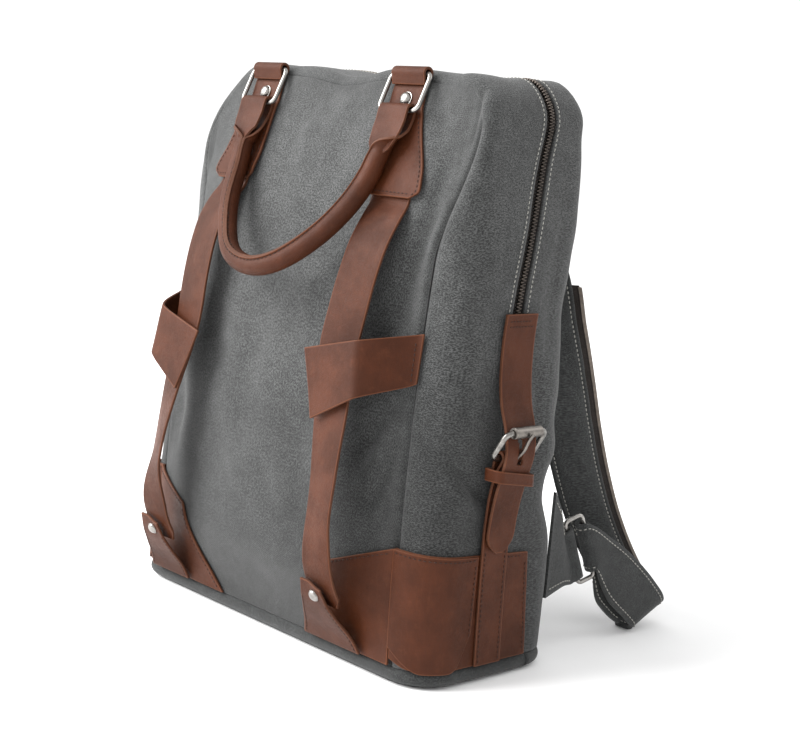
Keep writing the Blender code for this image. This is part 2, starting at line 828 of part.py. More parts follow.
def make_front_straps():
    path = Path(STRAP_ROUTE)
    for side, word in ((1, "right"), (-1, "left")):
        first, last = STRAP_TWIST[side]

        def place(a, b, sign=side, start=first, end=last):
            spot = path.at(b)
            turn = math.radians(mix(start, end, ease(0.36, 0.75, b)) * (1.0 - ease(0.76, 0.90, b)))
            width = mix(FRONT_STRAP, 0.030, ease(0.5, 0.9, b)) * mix(1.0, 0.6, ease(0.965, 1.0, b))
            across = Vector((math.cos(turn), math.sin(turn), 0.0))
            return Vector((sign * spot.x, spot.y, spot.z)) + across * (a - 0.5) * width

        obj = sheet("front_strap_" + word, leather(), place, 2, 26, LEATHER)
        cut(obj, cutter_rod("strap_hole_" + word, RIVET_HOLE, 0.014, rivet_place(side)))


def tab_at(side, a, b):
    spot = TAB_PATH.at(b)
    left = mix(TAB_FOOT[side][0], side * 0.1000 - 0.0160, ease(-0.2, 1.0, b))
    right = mix(TAB_FOOT[side][1], side * 0.1000 + 0.0060, ease(-0.3, 0.95, b))
    slope = 0.0040 * ease(0.80, 1.0, b) * ease(0.3, 1.0, a)
    return Vector((mix(left, right, a), spot.y, spot.z - slope))


def rivet_place(side):
    spot = tab_at(side, 0.62, TAB_RIVET)
    rise_way = tab_at(side, 0.62, TAB_RIVET + 0.02) - tab_at(side, 0.62, TAB_RIVET - 0.02)
    outward = Vector((1.0, 0.0, 0.0)).cross(Vector((0.0, rise_way.y, rise_way.z)))
    if outward.y > 0.0:
        outward.negate()
    return frame_at(spot, outward)


def make_tabs():
    for side, word in ((1, "right"), (-1, "left")):
        obj = sheet("strap_tab_" + word, leather(), lambda a, b, s=side: tab_at(s, a, b), 5, 8, LEATHER)
        cut(obj, cutter_rod("tab_hole_" + word, RIVET_HOLE, 0.014, rivet_place(side)))
        half = LEATHER / 2 + 0.0003
        dome = [(0.0044 * math.sin(turn), half + 0.0022 * math.cos(turn)) for turn in quarter_turns(4)]
        shank = RIVET_HOLE - 0.0003
        profile = dome + [(0.0044, half), (shank, half), (shank, -0.0052), (0.0, -0.0052)]
        turned("tab_rivet_" + word, nickel(), profile, rivet_place(side))


def make_wings():
    """Leather wings sewn into the front seams, each reaching forward over a front strap."""
    strap_path = Path(STRAP_ROUTE)
    for side, word in ((1, "right"), (-1, "left")):
        def place(a, b, sign=side):
            foot = Vector((mix(0.1405, 0.0800, a), 0.0, mix(0.2080, 0.1765, a)))
            head = Vector((mix(0.1405, 0.0625, a), 0.0, mix(0.2420, 0.2230, a)))
            spot = foot.lerp(head, b)
            strap = strap_path.at((0.336 - spot.z) / 0.300)
            root = front_at(0.1405, spot.z, 0.0030).y
            face = strap.y - mix(0.0066, 0.0084, ease(0.190, 0.230, spot.z)) - (0.0014 if sign < 0 else 0.0)
            blend = ease(0.0, 0.38, a)
            return Vector((sign * spot.x, mix(root, face, blend), spot.z))

        sheet("strap_wing_" + word, leather(), place, 10, 5, LEATHER)


def make_corner_patches():
    for side, word in ((1, "right"), (-1, "left")):
        def place(a, b, sign=side):
            top = mix(0.0775, 0.0960, a)
            z = mix(PANEL_BOTTOM + 0.0006, top, b)
            inner = 0.050 + 0.039 * b ** 0.8
            seam = half_width(z) - front_radius(z) - 0.0012
            return front_at(sign * mix(inner, seam, a), z, 0.0030)

        sheet("corner_patch_" + word, leather(), place, 9, 7, LEATHER)


# ---------------------------------------------------------------- leather and buckles on the sides

def make_side_leathers():
    for side, word in ((1, "right"), (-1, "left")):
        def place(a, b, sign=side):
            back_edge = math.pi / 2 * FRONT_CORNER + mix(0.0695, 0.0660, b)
            reach = mix(0.0008, back_edge, a)
            corner = 0.016 * (1.0 - ease(-0.004, 0.030, reach))
            z = mix(PANEL_BOTTOM + 0.0006 + corner, mix(0.0960, 0.0885, a), b)
            return wrap_at(sign, reach, z, 0.0024)

        sheet("side_leather_" + word, leather(), place, 12, 6, LEATHER)


# The buckle's lower bar and roller bar, as distance outside the gusset and height.
LOWER_BAR = (0.0115, 0.1610)
ROLLER_BAR = (0.0228, 0.1800)


def bar_at(side, bar):
    lift, z = bar
    return side_at(side, side_strap_y(z), z, lift)


def strap_direction():
    """The way across a side strap."""
    return Vector((0.0, 1.0, 0.0))


def make_buckles():
    for side, word in ((1, "right"), (-1, "left")):
        low, top = bar_at(side, LOWER_BAR), bar_at(side, ROLLER_BAR)
        across = strap_direction()
        up = (top - low).normalized()
        half_a = SIDE_STRAP / 2 + 0.0022 + BUCKLE_WIRE
        middle = (low + top) / 2
        points = [middle + across * a + up * b
                  for a, b in rounded_box(half_a, (top - low).length / 2, 0.0050, 4)]
        wire("buckle_frame_" + word, nickel(), points, BUCKLE_WIRE, True)

        length = SIDE_STRAP - 0.0040
        inner = BUCKLE_WIRE + 0.0004
        profile = [(inner, length / 2), (ROLLER_RADIUS, length / 2), (ROLLER_RADIUS, -length / 2),
                   (inner, -length / 2), (inner, length / 2)]
        turned("buckle_roller_" + word, gunmetal(), profile, frame_at(top, across, up))

        outward = Vector((side, 0.0, 0.0))
        outward = (outward - up * outward.dot(up)).normalized()
        near, far = BUCKLE_WIRE + 0.0017, ROLLER_RADIUS + 0.0017
        hook = [low - up * near + outward * 0.0004,
                low - up * near * 0.6 + outward * near * 0.85,
                low + up * 0.0020 + outward * (near + 0.0006),
                mix(low, top, 0.5) + outward * 0.0062,
                top + outward * far * 0.95 - up * 0.0030,
                top + outward * (far + 0.0002) + up * 0.0028]
        curve = Path(hook)
        path = [curve.at(step / 18) for step in range(19)]
        wire("buckle_prong_" + word, gunmetal(), path, 0.0012)


# The side strap from its sewn head down to its tip, as distance outside the gusset and height.
SIDE_STRAP_ROUTE = [(0.0042, 0.2575), (0.0040, 0.2480), (0.0044, 0.2330), (0.0064, 0.2130), (0.0102, 0.1960),
                    (0.0152, 0.1840), (0.0178, 0.1760), (0.0190, 0.1680), (0.0188, 0.1600), (0.0170, 0.1520),
                    (0.0152, 0.1450), (0.0122, 0.1320), (0.0100, 0.1180), (0.0088, 0.1030), (0.0084, 0.0935)]
# The short strap from its foot in the base seam up, round the buckle's lower bar and down behind itself.
CHAPE_ROUTE = [(0.0048, 0.0134), (0.0048, 0.0500), (0.0048, 0.0900), (0.0050, 0.1150), (0.0072, 0.1380),
               (0.0106, 0.1510)]


def side_sheet(name, look, side, route, width_at, across, along, tilt=0.0):
    """A strap on a side: route gives distance outside the gusset and height down its middle."""
    path = Path([(lift, 0.0, z) for lift, z in route])

    def place(a, b):
        spot = path.at(b)
        reach = (a - 0.5) * width_at(b)
        y = side_strap_y(spot.z) + reach
        return side_at(side, y, spot.z - tilt * reach, spot.x)

    return sheet(name, look, place, across, along, LEATHER)


def make_side_straps():
    for side, word in ((1, "right"), (-1, "left")):
        def width_at(b):
            tip = math.sqrt(max(1.0 - ease(0.90, 1.01, b) ** 2, 0.02))
            return mix(SIDE_STRAP, 0.0255, ease(0.2, 0.9, b)) * tip

        strap = side_sheet("side_strap_" + word, leather(), side, SIDE_STRAP_ROUTE, width_at, 2, 34)
        low, top = bar_at(side, LOWER_BAR), bar_at(side, ROLLER_BAR)
        up = (top - low).normalized()
        hole = frame_at(side_at(side, side_strap_y(0.1655), 0.1655, 0.0190), Vector((side, 0.0, 0.0)), up)
        cut(strap, cutter_box("prong_hole_" + word, (0.0050, 0.0205, 0.0120), hole))

        loop = BUCKLE_WIRE + 0.0009 + LEATHER / 2
        bar_lift, bar_z = LOWER_BAR
        turn_route = list(CHAPE_ROUTE)
        for step in range(9):
            angle = math.radians(mix(-30, 190, step / 8))
            turn_route.append((bar_lift + loop * math.cos(angle), bar_z + loop * math.sin(angle)))
        turn_route.append((0.0062, 0.1500))
        chape = side_sheet("side_chape_" + word, leather(), side, turn_route, lambda b: 0.0250, 2, 32)
        slot = frame_at(low, Vector((side, 0.0, 0.0)), up)
        cut(chape, cutter_box("chape_slot_" + word, (0.0060, 0.0110, 0.0130), slot))


def make_keepers():
    for side, word in ((1, "right"), (-1, "left")):
        loop = rounded_box(SIDE_STRAP / 2 + 0.0030, 0.0078, 0.0050, 4)

        def place(a, b, sign=side, ring=loop):
            spot = a * len(ring)
            i = int(spot) % len(ring)
            y = mix(ring[i][0], ring[(i + 1) % len(ring)][0], spot - int(spot))
            lift = mix(ring[i][1], ring[(i + 1) % len(ring)][1], spot - int(spot))
            z = 0.1470 + (b - 0.5) * 0.0085 - 0.16 * y
            return side_at(sign, side_strap_y(0.147) + y, z, 0.0118 + lift)

        band("strap_keeper_" + word, leather(), place, len(loop), 0.0016)


# ---------------------------------------------------------------- shoulder straps

# The right strap's centre line from its head on the back down to the floor, with the way across it.
SHOULDER_ROUTE = [((0.040, 0.0797, 0.3900), (1.00, 0.00)), ((0.040, 0.0799, 0.3780), (1.00, 0.00)),
                  ((0.041, 0.0803, 0.3670), (1.00, 0.00)),
                  ((0.047, 0.0930, 0.3460), (1.00, 0.12)), ((0.060, 0.1060, 0.3200), (0.94, 0.34)),
                  ((0.084, 0.1130, 0.2800), (0.75, 0.66)),
                  ((0.100, 0.1120, 0.2400), (0.52, 0.85)), ((0.107, 0.1210, 0.2000), (0.38, 0.92)),
                  ((0.109, 0.1330, 0.1600), (0.33, 0.94)), ((0.111, 0.1470, 0.1200), (0.32, 0.95)),
                  ((0.115, 0.1640, 0.0800), (0.30, 0.95)), ((0.124, 0.1840, 0.0420), (0.22, 0.97)),
                  ((0.136, 0.1980, 0.0180), (0.10, 0.99))]
# The lower band from the floor up to the ring, round its outer bar and back along the floor side.
LOOP_ROUTE = [((0.1400, 0.1960, 0.0085), (0.10, 0.94, 0.33)), ((0.1520, 0.1945, 0.0105), (0.05, 0.91, 0.42)),
              ((0.1575, 0.1900, 0.0155), (0.0, 0.88, 0.47)), ((0.1580, 0.1780, 0.0270), (0.0, 0.80, 0.60)),
              ((0.1570, 0.1580, 0.0440), (0.0, 0.55, 0.83)), ((0.1555, 0.1400, 0.0590), (0.0, 0.10, 0.99))]
RING_A = Vector((0.1475, 0.1235, 0.0525))
RING_B = Vector((0.1475, 0.1060, 0.0935))
ANCHOR_FOOT = ((0.1560, 0.0695, 0.0440), (0.1545, 0.0735, 0.1230))


def side_vector(side, point):
    return Vector((side * point[0], point[1], point[2]))


SHOULDER_PATH = Path([spot for spot, way in SHOULDER_ROUTE], [(x, y, 0.0) for spot, (x, y) in SHOULDER_ROUTE])


def shoulder_at(side, b, reach, lift=0.0):
    """A point of a shoulder strap at b down its length, reach across it and lift off its middle."""
    way = SHOULDER_PATH.value(b).normalized()
    normal = way.cross(SHOULDER_PATH.way(b)).normalized()
    point = SHOULDER_PATH.at(b) + way * reach + normal * lift
    return Vector((side * point.x, point.y, point.z))


def make_shoulder_straps():
    half = SHOULDER_STRAP / 2
    for side, word in ((1, "right"), (-1, "left")):
        sheet("shoulder_strap_" + word, strap_canvas(),
              lambda a, b, s=side: shoulder_at(s, b, (a - 0.5) * SHOULDER_STRAP), 2, 28, 0.0042, 0.0010)
        sheet("strap_zip_" + word, zip_tape(),
              lambda a, b, s=side: shoulder_at(s, mix(0.34, 0.965, b), half + mix(0.0004, 0.0066, a)), 1, 26,
              0.0014, 0.0)


def ring_frame(side):
    """The adjuster ring's middle, its way along the bars and its way from bar to bar."""
    low, high = side_vector(side, RING_A), side_vector(side, RING_B)
    along = (high - low).normalized()
    over = Vector((side * 0.25, 1.0, 0.0))
    over = (over - along * over.dot(along)).normalized()
    return (low + high) / 2, along, over


def make_adjusters():
    for side, word in ((1, "right"), (-1, "left")):
        middle, along, over = ring_frame(side)
        points = [middle + along * a + over * b for a, b in rounded_box(0.0272, 0.0075, 0.0036, 4)]
        wire("adjuster_ring_" + word, nickel(), points, 0.0018, True)


def make_strap_loops():
    """The lower band of each strap, wrapped round the ring's outer bar with its tail below."""
    for side, word in ((1, "right"), (-1, "left")):
        middle, along, over = ring_frame(side)
        outer = middle + over * 0.0075
        normal = over.cross(along).normalized()
        if normal.x * side < 0.0:
            normal.negate()
        route = [(side_vector(side, spot), Vector(way)) for spot, way in LOOP_ROUTE]
        reach = 0.0018 + 0.0012 + 0.0017
        for step in range(7):
            angle = math.radians(mix(90, 300, step / 6))
            turn = normal * math.sin(angle) + over * math.cos(angle)
            route.append((outer + turn * reach, along))
        tail = [((0.1480, 0.1400, 0.0520), (0.0, 0.10, 0.99)), ((0.1490, 0.1560, 0.0390), (0.0, 0.50, 0.86)),
                ((0.1500, 0.1680, 0.0290), (0.0, 0.66, 0.75)), ((0.1515, 0.1790, 0.0205), (0.0, 0.80, 0.60))]
        route += [(side_vector(side, spot), Vector(way)) for spot, way in tail]

        def place(a, b, path=Path(*zip(*route))):
            return path.at(b) + path.value(b).normalized() * (a - 0.5) * 0.0410

        sheet("strap_loop_" + word, strap_canvas(), place, 2, 34, 0.0032, 0.0)


def make_anchor_tabs():
    """Canvas triangles from the back edge of the bag to the rings' inner bars."""
    for side, word in ((1, "right"), (-1, "left")):
        middle, along, over = ring_frame(side)
        inner = middle - over * 0.0075
        normal = over.cross(along).normalized()
        low, high = (side_vector(side, spot) for spot in ANCHOR_FOOT)
        foot_centre, foot_way = (low + high) / 2, (high - low) / 2
        half = along * 0.0210
        reach = 0.0018 + 0.0008 + 0.0013
        route = [(foot_centre, foot_way), (mix(foot_centre, inner, 0.5) + normal * 0.001, mix(foot_way, half, 0.55)),
                 (inner - over * 0.006 + normal * reach, half)]
        for step in range(6):
            angle = math.radians(mix(90, -120, step / 5))
            route.append((inner + (normal * math.sin(angle) + over * math.cos(angle)) * reach, half))

        def place(a, b, path=Path(*zip(*route))):
            return path.at(b) + path.value(b) * (2.0 * a - 1.0)

        sheet("anchor_tab_" + word, strap_canvas(), place, 3, 18, 0.0024, 0.0)


def make_strap_patch():
    """The leather patch that holds both strap heads at the top of the back."""
    def place(a, b):
        z = mix(0.377, 0.405, b)
        x = mix(-0.078, 0.078, a)
        over_strap = ease(0.006, 0.015, abs(x)) * (1.0 - ease(0.065, 0.074, abs(x)))
        return Vector((x, back_y(z) + mix(0.0026, 0.0074, over_strap), z))

    sheet("strap_head_patch", leather(), place, 24, 2, LEATHER)


def build():
    global parts, cutters
    clear_scene()
    parts = new_collection("travel_backpack")
    cutters = new_collection("cutters")
    make_panels()
    make_gussets()
    make_base()
    make_inside()
    make_zip()
    make_slider()
    make_ring_patches()
    make_studs()
    make_rings()
    make_handle()
    make_front_straps()
    make_tabs()
    make_wings()
    make_corner_patches()
    make_side_leathers()
    make_buckles()
    make_side_straps()
    make_keepers()
    make_shoulder_straps()
    make_adjusters()
    make_strap_loops()
    make_anchor_tabs()
    make_strap_patch()


build()
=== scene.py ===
"""The looks of a travel backpack: canvas, leather, metal and thread, a pale studio floor, lights and a camera.

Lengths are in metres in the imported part's frame: the base stands on z = 0, the front faces -Y, and the
right side faces +X. The shapes of the bag and of its straps repeat the part's own.
"""

import bisect
import contextlib
import json
import math

import bmesh
import bpy
from mathutils import Matrix, Vector, noise


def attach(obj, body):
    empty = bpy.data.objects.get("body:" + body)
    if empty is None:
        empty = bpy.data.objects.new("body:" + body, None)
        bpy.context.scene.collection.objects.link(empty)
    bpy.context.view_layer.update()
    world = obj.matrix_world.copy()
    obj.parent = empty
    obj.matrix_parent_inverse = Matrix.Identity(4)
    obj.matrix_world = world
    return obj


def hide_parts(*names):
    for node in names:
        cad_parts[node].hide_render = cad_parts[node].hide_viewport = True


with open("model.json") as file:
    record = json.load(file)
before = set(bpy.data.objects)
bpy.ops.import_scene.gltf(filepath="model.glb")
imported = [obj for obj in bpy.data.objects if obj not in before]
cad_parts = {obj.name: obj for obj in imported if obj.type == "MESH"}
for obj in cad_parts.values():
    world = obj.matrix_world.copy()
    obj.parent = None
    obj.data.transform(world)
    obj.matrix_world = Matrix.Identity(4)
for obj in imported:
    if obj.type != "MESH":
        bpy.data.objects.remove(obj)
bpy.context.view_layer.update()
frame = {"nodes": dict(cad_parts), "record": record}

SIDES = ((1, "right"), (-1, "left"))

# Body of the bag
HEIGHT = 0.420
BASE_WIDTH = 0.340
TOP_WIDTH = 0.315
BASE_DEPTH = 0.130
FRONT_LEAN = 0.046
FRONT_SWELL = 0.014
BACK_LEAN = 0.010
BACK_SWELL = 0.005
SIDE_SWELL = 0.0018
FRONT_BULGE = 0.024
FRONT_SEAM = 0.140
TOP_Z = 0.417
RIGHT_CORNER = 0.032
LEFT_CORNER_WIDTH = 0.060
LEFT_CORNER_DROP = 0.095
FRONT_CORNER = 0.029
BACK_CORNER = 0.027
TOP_EDGE = 0.008
PANEL_BOTTOM = 0.0128

CANVAS = 0.0020
PANEL_LAP = 0.0008
LEATHER = 0.0020
ZIP_SETBACK = 0.059
ZIP_OPENING = 0.011
ZIP_BOTTOM = 0.252
SLIDER_Z = 0.283
RING_X = 0.080
RING_TOP = Vector((0.0, -0.0275, 0.4150))
RING_LOW = Vector((0.0, -0.0392, 0.3890))
RING_INSIDE = 0.0365
RING_WIRE = 0.0017
RING_CORNER = 0.0055
STUD_RADIUS = 0.0053
STUD_Z = 0.3955
RIVET_RADIUS = 0.0045
PATCH_BOTTOM = 0.328
FRONT_STRAP = 0.035
SIDE_STRAP = 0.030
SHOULDER_STRAP = 0.044
BUCKLE_WIRE = 0.0020
BUCKLE_CORNER = 0.0050
PRONG_WIRE = 0.0012
ROLLER_RADIUS = 0.0040


# ---------------------------------------------------------------- curves and easing

def mix(a, b, t):
    return a + (b - a) * t


def ease(low, high, value):
    t = min(max((value - low) / (high - low), 0.0), 1.0)
    return t * t * (3.0 - 2.0 * t)


def lengths_along(spots):
    """The distance along the points from the first to each."""
    reaches = [0.0]
    for start, end in zip(spots, spots[1:]):
        reaches.append(reaches[-1] + (end - start).length)
    return reaches


def step_at(reaches, far):
    """The point that ends the step holding the distance far, and the share of that step passed."""
    i = min(max(bisect.bisect_left(reaches, far), 1), len(reaches) - 1)
    return i, (far - reaches[i - 1]) / max(reaches[i] - reaches[i - 1], 1e-9)


class Path:
    """A smooth line through the points, measured along its length. Extra values may be carried along it."""

    def __init__(self, points, carried=None, per_span=10):
        points = [Vector(point) for point in points]
        carried = [Vector(value) for value in carried] if carried else [Vector((0.0, 0.0, 0.0))] * len(points)
        self.spots = [points[0]]
        self.values = [carried[0]]
        for i in range(len(points) - 1):
            before = points[i - 1] if i else points[0] * 2 - points[1]
            after = points[i + 2] if i + 2 < len(points) else points[-1] * 2 - points[-2]
            for step in range(1, per_span + 1):
                share = step / per_span
                self.spots.append(curve_point(before, points[i], points[i + 1], after, share))
                self.values.append(carried[i].lerp(carried[i + 1], share))
        self.reaches = lengths_along(self.spots)

    def between(self, kept, t):
        i, share = step_at(self.reaches, min(max(t, 0.0), 1.0) * self.reaches[-1])
        return kept[i - 1].lerp(kept[i], share)

    def at(self, t):
        return self.between(self.spots, t)

    def value(self, t):
        return self.between(self.values, t)

    def way(self, t):
        return (self.at(t + 0.01) - self.at(t - 0.01)).normalized()


def curve_point(p0, p1, p2, p3, share):
    """A point between p1 and p2 of the centripetal curve through the four points."""
    first, middle, last = ((b - a).length ** 0.5 for a, b in ((p0, p1), (p1, p2), (p2, p3)))
    leave = ((p1 - p0) / first - (p2 - p0) / (first + middle) + (p2 - p1) / middle) * middle
    arrive = ((p2 - p1) / middle - (p3 - p1) / (middle + last) + (p3 - p2) / last) * middle
    square, cube = share ** 2, share ** 3
    return (p1 * (2 * cube - 3 * square + 1) + leave * (cube - 2 * square + share)
            + p2 * (3 * square - 2 * cube) + arrive * (cube - square))


def rounded_box(half_a, half_b, radius, count):
    """Points round a rectangle with round corners, anticlockwise."""
    found = []
    for quarter in range(4):
        a = (half_a - radius) * (1 if quarter in (0, 3) else -1)
        b = (half_b - radius) * (1 if quarter in (0, 1) else -1)
        for step in range(count + 1):
            angle = math.pi / 2 * (quarter + step / count)
            found.append((a + radius * math.cos(angle), b + radius * math.sin(angle)))
    return found


def frame_at(origin, forward, up=Vector((0.0, 0.0, 1.0))):
    """A placing matrix whose local Z points forward."""
    z_axis = forward.normalized()
    x_axis = up.cross(z_axis).normalized()
    y_axis = z_axis.cross(x_axis)
    rotation = Matrix((x_axis, y_axis, z_axis)).transposed().to_4x4()
    return Matrix.Translation(origin) @ rotation


# ---------------------------------------------------------------- the bag's surfaces

def rise(z):
    return min(max(z / HEIGHT, 0.0), 1.0)


def swell(z):
    return 4.0 * rise(z) * (1.0 - rise(z))


def half_width(z):
    return mix(BASE_WIDTH, TOP_WIDTH, rise(z)) / 2 + SIDE_SWELL * swell(z)


def front_y(z):
    return -BASE_DEPTH / 2 + FRONT_LEAN * rise(z) - FRONT_SWELL * swell(z)


def back_y(z):
    return BASE_DEPTH / 2 + BACK_LEAN * rise(z) + BACK_SWELL * swell(z)


def front_radius(z):
    return mix(FRONT_CORNER, TOP_EDGE, ease(0.290, 0.375, z))


def back_radius(z):
    return mix(BACK_CORNER, TOP_EDGE * 2, ease(0.290, 0.375, z))


def front_bulge(x, z):
    upright = max(math.sin(math.pi * rise(z) ** 0.62), 0.0) ** 0.85 * ease(0.008, 0.070, z)
    across = max(1.0 - (x / FRONT_SEAM) ** 2, 0.0) ** 0.75
    return FRONT_BULGE * upright * across


def front_at(x, z, lift=0.0):
    """A point lift in front of the front panel."""
    def depth(px, pz):
        return front_y(pz) - front_bulge(px, pz)

    step = 0.001
    slope_x = (depth(x + step, z) - depth(x - step, z)) / (2 * step)
    slope_z = (depth(x, z + step) - depth(x, z - step)) / (2 * step)
    outward = Vector((slope_x, -1.0, slope_z)).normalized()
    return Vector((x, depth(x, z), z)) + outward * lift


def side_at(side, y, z, lift=0.0):
    """A point lift outside the flat of a side gusset."""
    return Vector((side * (half_width(z) + lift), y, z))


def wrap_at(side, reach, z, lift=0.0):
    """A point of the side at height z, reach along the gusset from the front seam."""
    radius = front_radius(z)
    quarter = math.pi / 2 * radius
    angle = min(reach / radius, math.pi / 2)
    outward = Vector((math.sin(angle), -math.cos(angle), 0.0))
    x = half_width(z) - radius * (1.0 - math.sin(angle))
    y = front_y(z) + radius * (1.0 - math.cos(angle)) + max(reach - quarter, 0.0)
    point = Vector((x, y, z)) + outward * lift
    return Vector((side * point.x, point.y, point.z))


def outline_route():
    """The bag's edge seen from the front, as (x, z), from the right foot over the top to the left foot."""
    points = []
    corner_z = TOP_Z - RIGHT_CORNER
    for step in range(31):
        z = mix(PANEL_BOTTOM, corner_z, step / 30)
        points.append((half_width(z), z))
    centre_x = half_width(corner_z) - RIGHT_CORNER
    for step in range(1, 9):
        angle = math.pi / 2 * step / 8
        points.append((centre_x + RIGHT_CORNER * math.cos(angle), corner_z + RIGHT_CORNER * math.sin(angle)))
    left_z = TOP_Z - LEFT_CORNER_DROP
    left_x = LEFT_CORNER_WIDTH - half_width(left_z)
    for step in range(1, 20):
        points.append((mix(centre_x, left_x, step / 20), TOP_Z))
    for step in range(15):
        angle = math.pi / 2 * (1 + step / 14)
        x = left_x + LEFT_CORNER_WIDTH * math.cos(angle)
        points.append((x, left_z + LEFT_CORNER_DROP * math.sin(angle)))
    for step in range(1, 26):
        z = mix(left_z, PANEL_BOTTOM, step / 25)
        points.append((-half_width(z), z))
    return [Vector(point) for point in points]


ROUTE = outline_route()
REACHES = lengths_along(ROUTE)
ROUTE_LENGTH = REACHES[-1]


def route_at(u):
    """The outline's point and outward direction, u from 0 at the right foot to 1 at the left foot."""
    def point(share):
        i, part = step_at(REACHES, min(max(share, 0.0), 1.0) * ROUTE_LENGTH)
        return ROUTE[i - 1].lerp(ROUTE[i], part)

    ahead = point(u + 0.004) - point(u - 0.004)
    return point(u), Vector((ahead.y, -ahead.x)).normalized()


def gusset_spans(u):
    """The gusset at u: its point, outward direction, radii, front depth and straight length."""
    point, outward = route_at(u)
    front, back = front_radius(point.y), back_radius(point.y)
    near = front_y(point.y - outward.y * front)
    far = back_y(point.y - outward.y * back)
    return point, outward, front, back, near, far - back - near - front


def gusset_at(u, reach, lift=0.0):
    """A point of the gusset at u along the outline and reach back from the front seam."""
    point, outward, front, back, near, straight = gusset_spans(u)
    quarter = math.pi / 2 * front
    if reach < quarter:
        angle = reach / front
        inward = front * (1.0 - math.sin(angle))
        y = near + front * (1.0 - math.cos(angle))
        lean, turn = math.sin(angle), -math.cos(angle)
    elif reach < quarter + straight:
        inward = 0.0
        y = near + front + reach - quarter
        lean, turn = 1.0, 0.0
    else:
        angle = (reach - quarter - straight) / back
        inward = back * (1.0 - math.cos(angle))
        y = near + front + straight + back * math.sin(angle)
        lean, turn = math.cos(angle), math.sin(angle)
    shift = lean * lift - inward
    return Vector((point.x + outward.x * shift, y + turn * lift, point.y + outward.y * shift))


def gusset_depth(u):
    front, back, _, straight = gusset_spans(u)[2:]
    return math.pi / 2 * (front + back) + straight


def zip_reach(u):
    """How far back from the front seam the zip's middle runs at u."""
    front = gusset_spans(u)[2]
    return math.pi / 2 * front + ZIP_SETBACK - front


def zip_half_opening(u):
    """Half the canvas opening: the zip's width above its lower ends, and closed below them."""
    return mix(0.0005, ZIP_OPENING / 2, ease(ZIP_BOTTOM - 0.008, ZIP_BOTTOM, route_at(u)[0].y))


def route_share(z, side):
    """The outline's u at height z on one side, below the corners."""
    if side > 0:
        return (z - PANEL_BOTTOM) / ROUTE_LENGTH
    return 1.0 - (z - PANEL_BOTTOM) / ROUTE_LENGTH


def side_strap_y(z):
    """The middle line of the side straps, which lie over the line of the zip."""
    return front_y(z) + ZIP_SETBACK


def panel_edge(u, radius_of):
    """The seam of a front or back panel at u, as (x, z), lapped a little under the gusset."""
    point, outward = route_at(u)
    return point - outward * (radius_of(point.y) - PANEL_LAP)


# ---------------------------------------------------------------- how the cloth gives

# Soft folds of the front and of both sides: the fold's line, its half width and its depth, + inward.
# On the front a line's points are (x, z), and on the sides they are (y, z).
FRONT_FOLDS = [
    (((0.137, 0.372), (0.128, 0.330), (0.121, 0.280), (0.119, 0.225)), 0.0085, 0.0050),
    (((0.112, 0.350), (0.105, 0.300), (0.101, 0.250)), 0.0080, -0.0018),
    (((0.131, 0.174), (0.120, 0.151), (0.107, 0.128)), 0.0062, -0.0042),
    (((0.134, 0.150), (0.122, 0.128), (0.112, 0.112)), 0.0046, 0.0032),
    (((0.124, 0.188), (0.112, 0.167), (0.104, 0.148)), 0.0050, 0.0030),
    (((0.060, 0.205), (0.052, 0.150), (0.060, 0.095)), 0.0110, 0.0018),
    (((0.030, 0.385), (0.020, 0.330), (0.026, 0.270)), 0.0120, 0.0020),
    (((-0.020, 0.400), (-0.034, 0.360), (-0.030, 0.310)), 0.0100, 0.0018),
    (((0.000, 0.260), (-0.020, 0.190), (-0.012, 0.120)), 0.0130, 0.0018),
    (((-0.128, 0.190), (-0.118, 0.150), (-0.126, 0.110)), 0.0120, 0.0045),
    (((-0.075, 0.250), (-0.062, 0.200), (-0.070, 0.140)), 0.0110, 0.0016),
    (((0.110, 0.402), (0.120, 0.375), (0.133, 0.352)), 0.0090, 0.0020),
    (((-0.060, 0.060), (0.000, 0.045), (0.060, 0.052)), 0.0110, 0.0012),
    (((0.1478, 0.366), (0.1492, 0.386), (0.1472, 0.402), (0.1440, 0.424)), 0.0024, 0.0040),
]
SIDE_FOLDS = [
    (((-0.055, 0.330), (-0.048, 0.290), (-0.052, 0.255)), 0.0080, 0.0020),
    (((-0.045, 0.215), (-0.060, 0.170), (-0.052, 0.120)), 0.0090, 0.0024),
    (((0.020, 0.240), (0.034, 0.190), (0.026, 0.140)), 0.0110, 0.0030),
    (((-0.012, 0.200), (0.004, 0.180), (0.030, 0.172)), 0.0070, 0.0018),
    (((0.050, 0.330), (0.044, 0.270), (0.052, 0.215)), 0.0120, 0.0026),
    (((-0.030, 0.150), (-0.014, 0.118), (0.020, 0.104)), 0.0080, 0.0018),
    (((-0.052, 0.168), (-0.032, 0.142), (-0.006, 0.124)), 0.0058, 0.0032),
    (((-0.048, 0.150), (-0.026, 0.126), (-0.004, 0.112)), 0.0050, -0.0024),
]


def fold_push(folds, across, z):
    """How far the folds move the cloth outward at a point."""
    push = 0.0
    spot = Vector((across, z))
    for line, half, depth in folds:
        nearest, share = half * 3.0, 0.0
        for i, (start, end) in enumerate(zip(line, line[1:])):
            start, end = Vector(start), Vector(end)
            way = end - start
            part = min(max((spot - start).dot(way) / way.length_squared, 0.0), 1.0)
            gap = (start + way * part - spot).length
            if gap < nearest:
                nearest, share = gap, (i + part) / (len(line) - 1)
        if nearest < half * 3.0:
            taper = math.sin(math.pi * min(max(share, 0.04), 0.96)) ** 0.7
            push -= depth * taper * math.exp(-(nearest / half) ** 2)
    return push


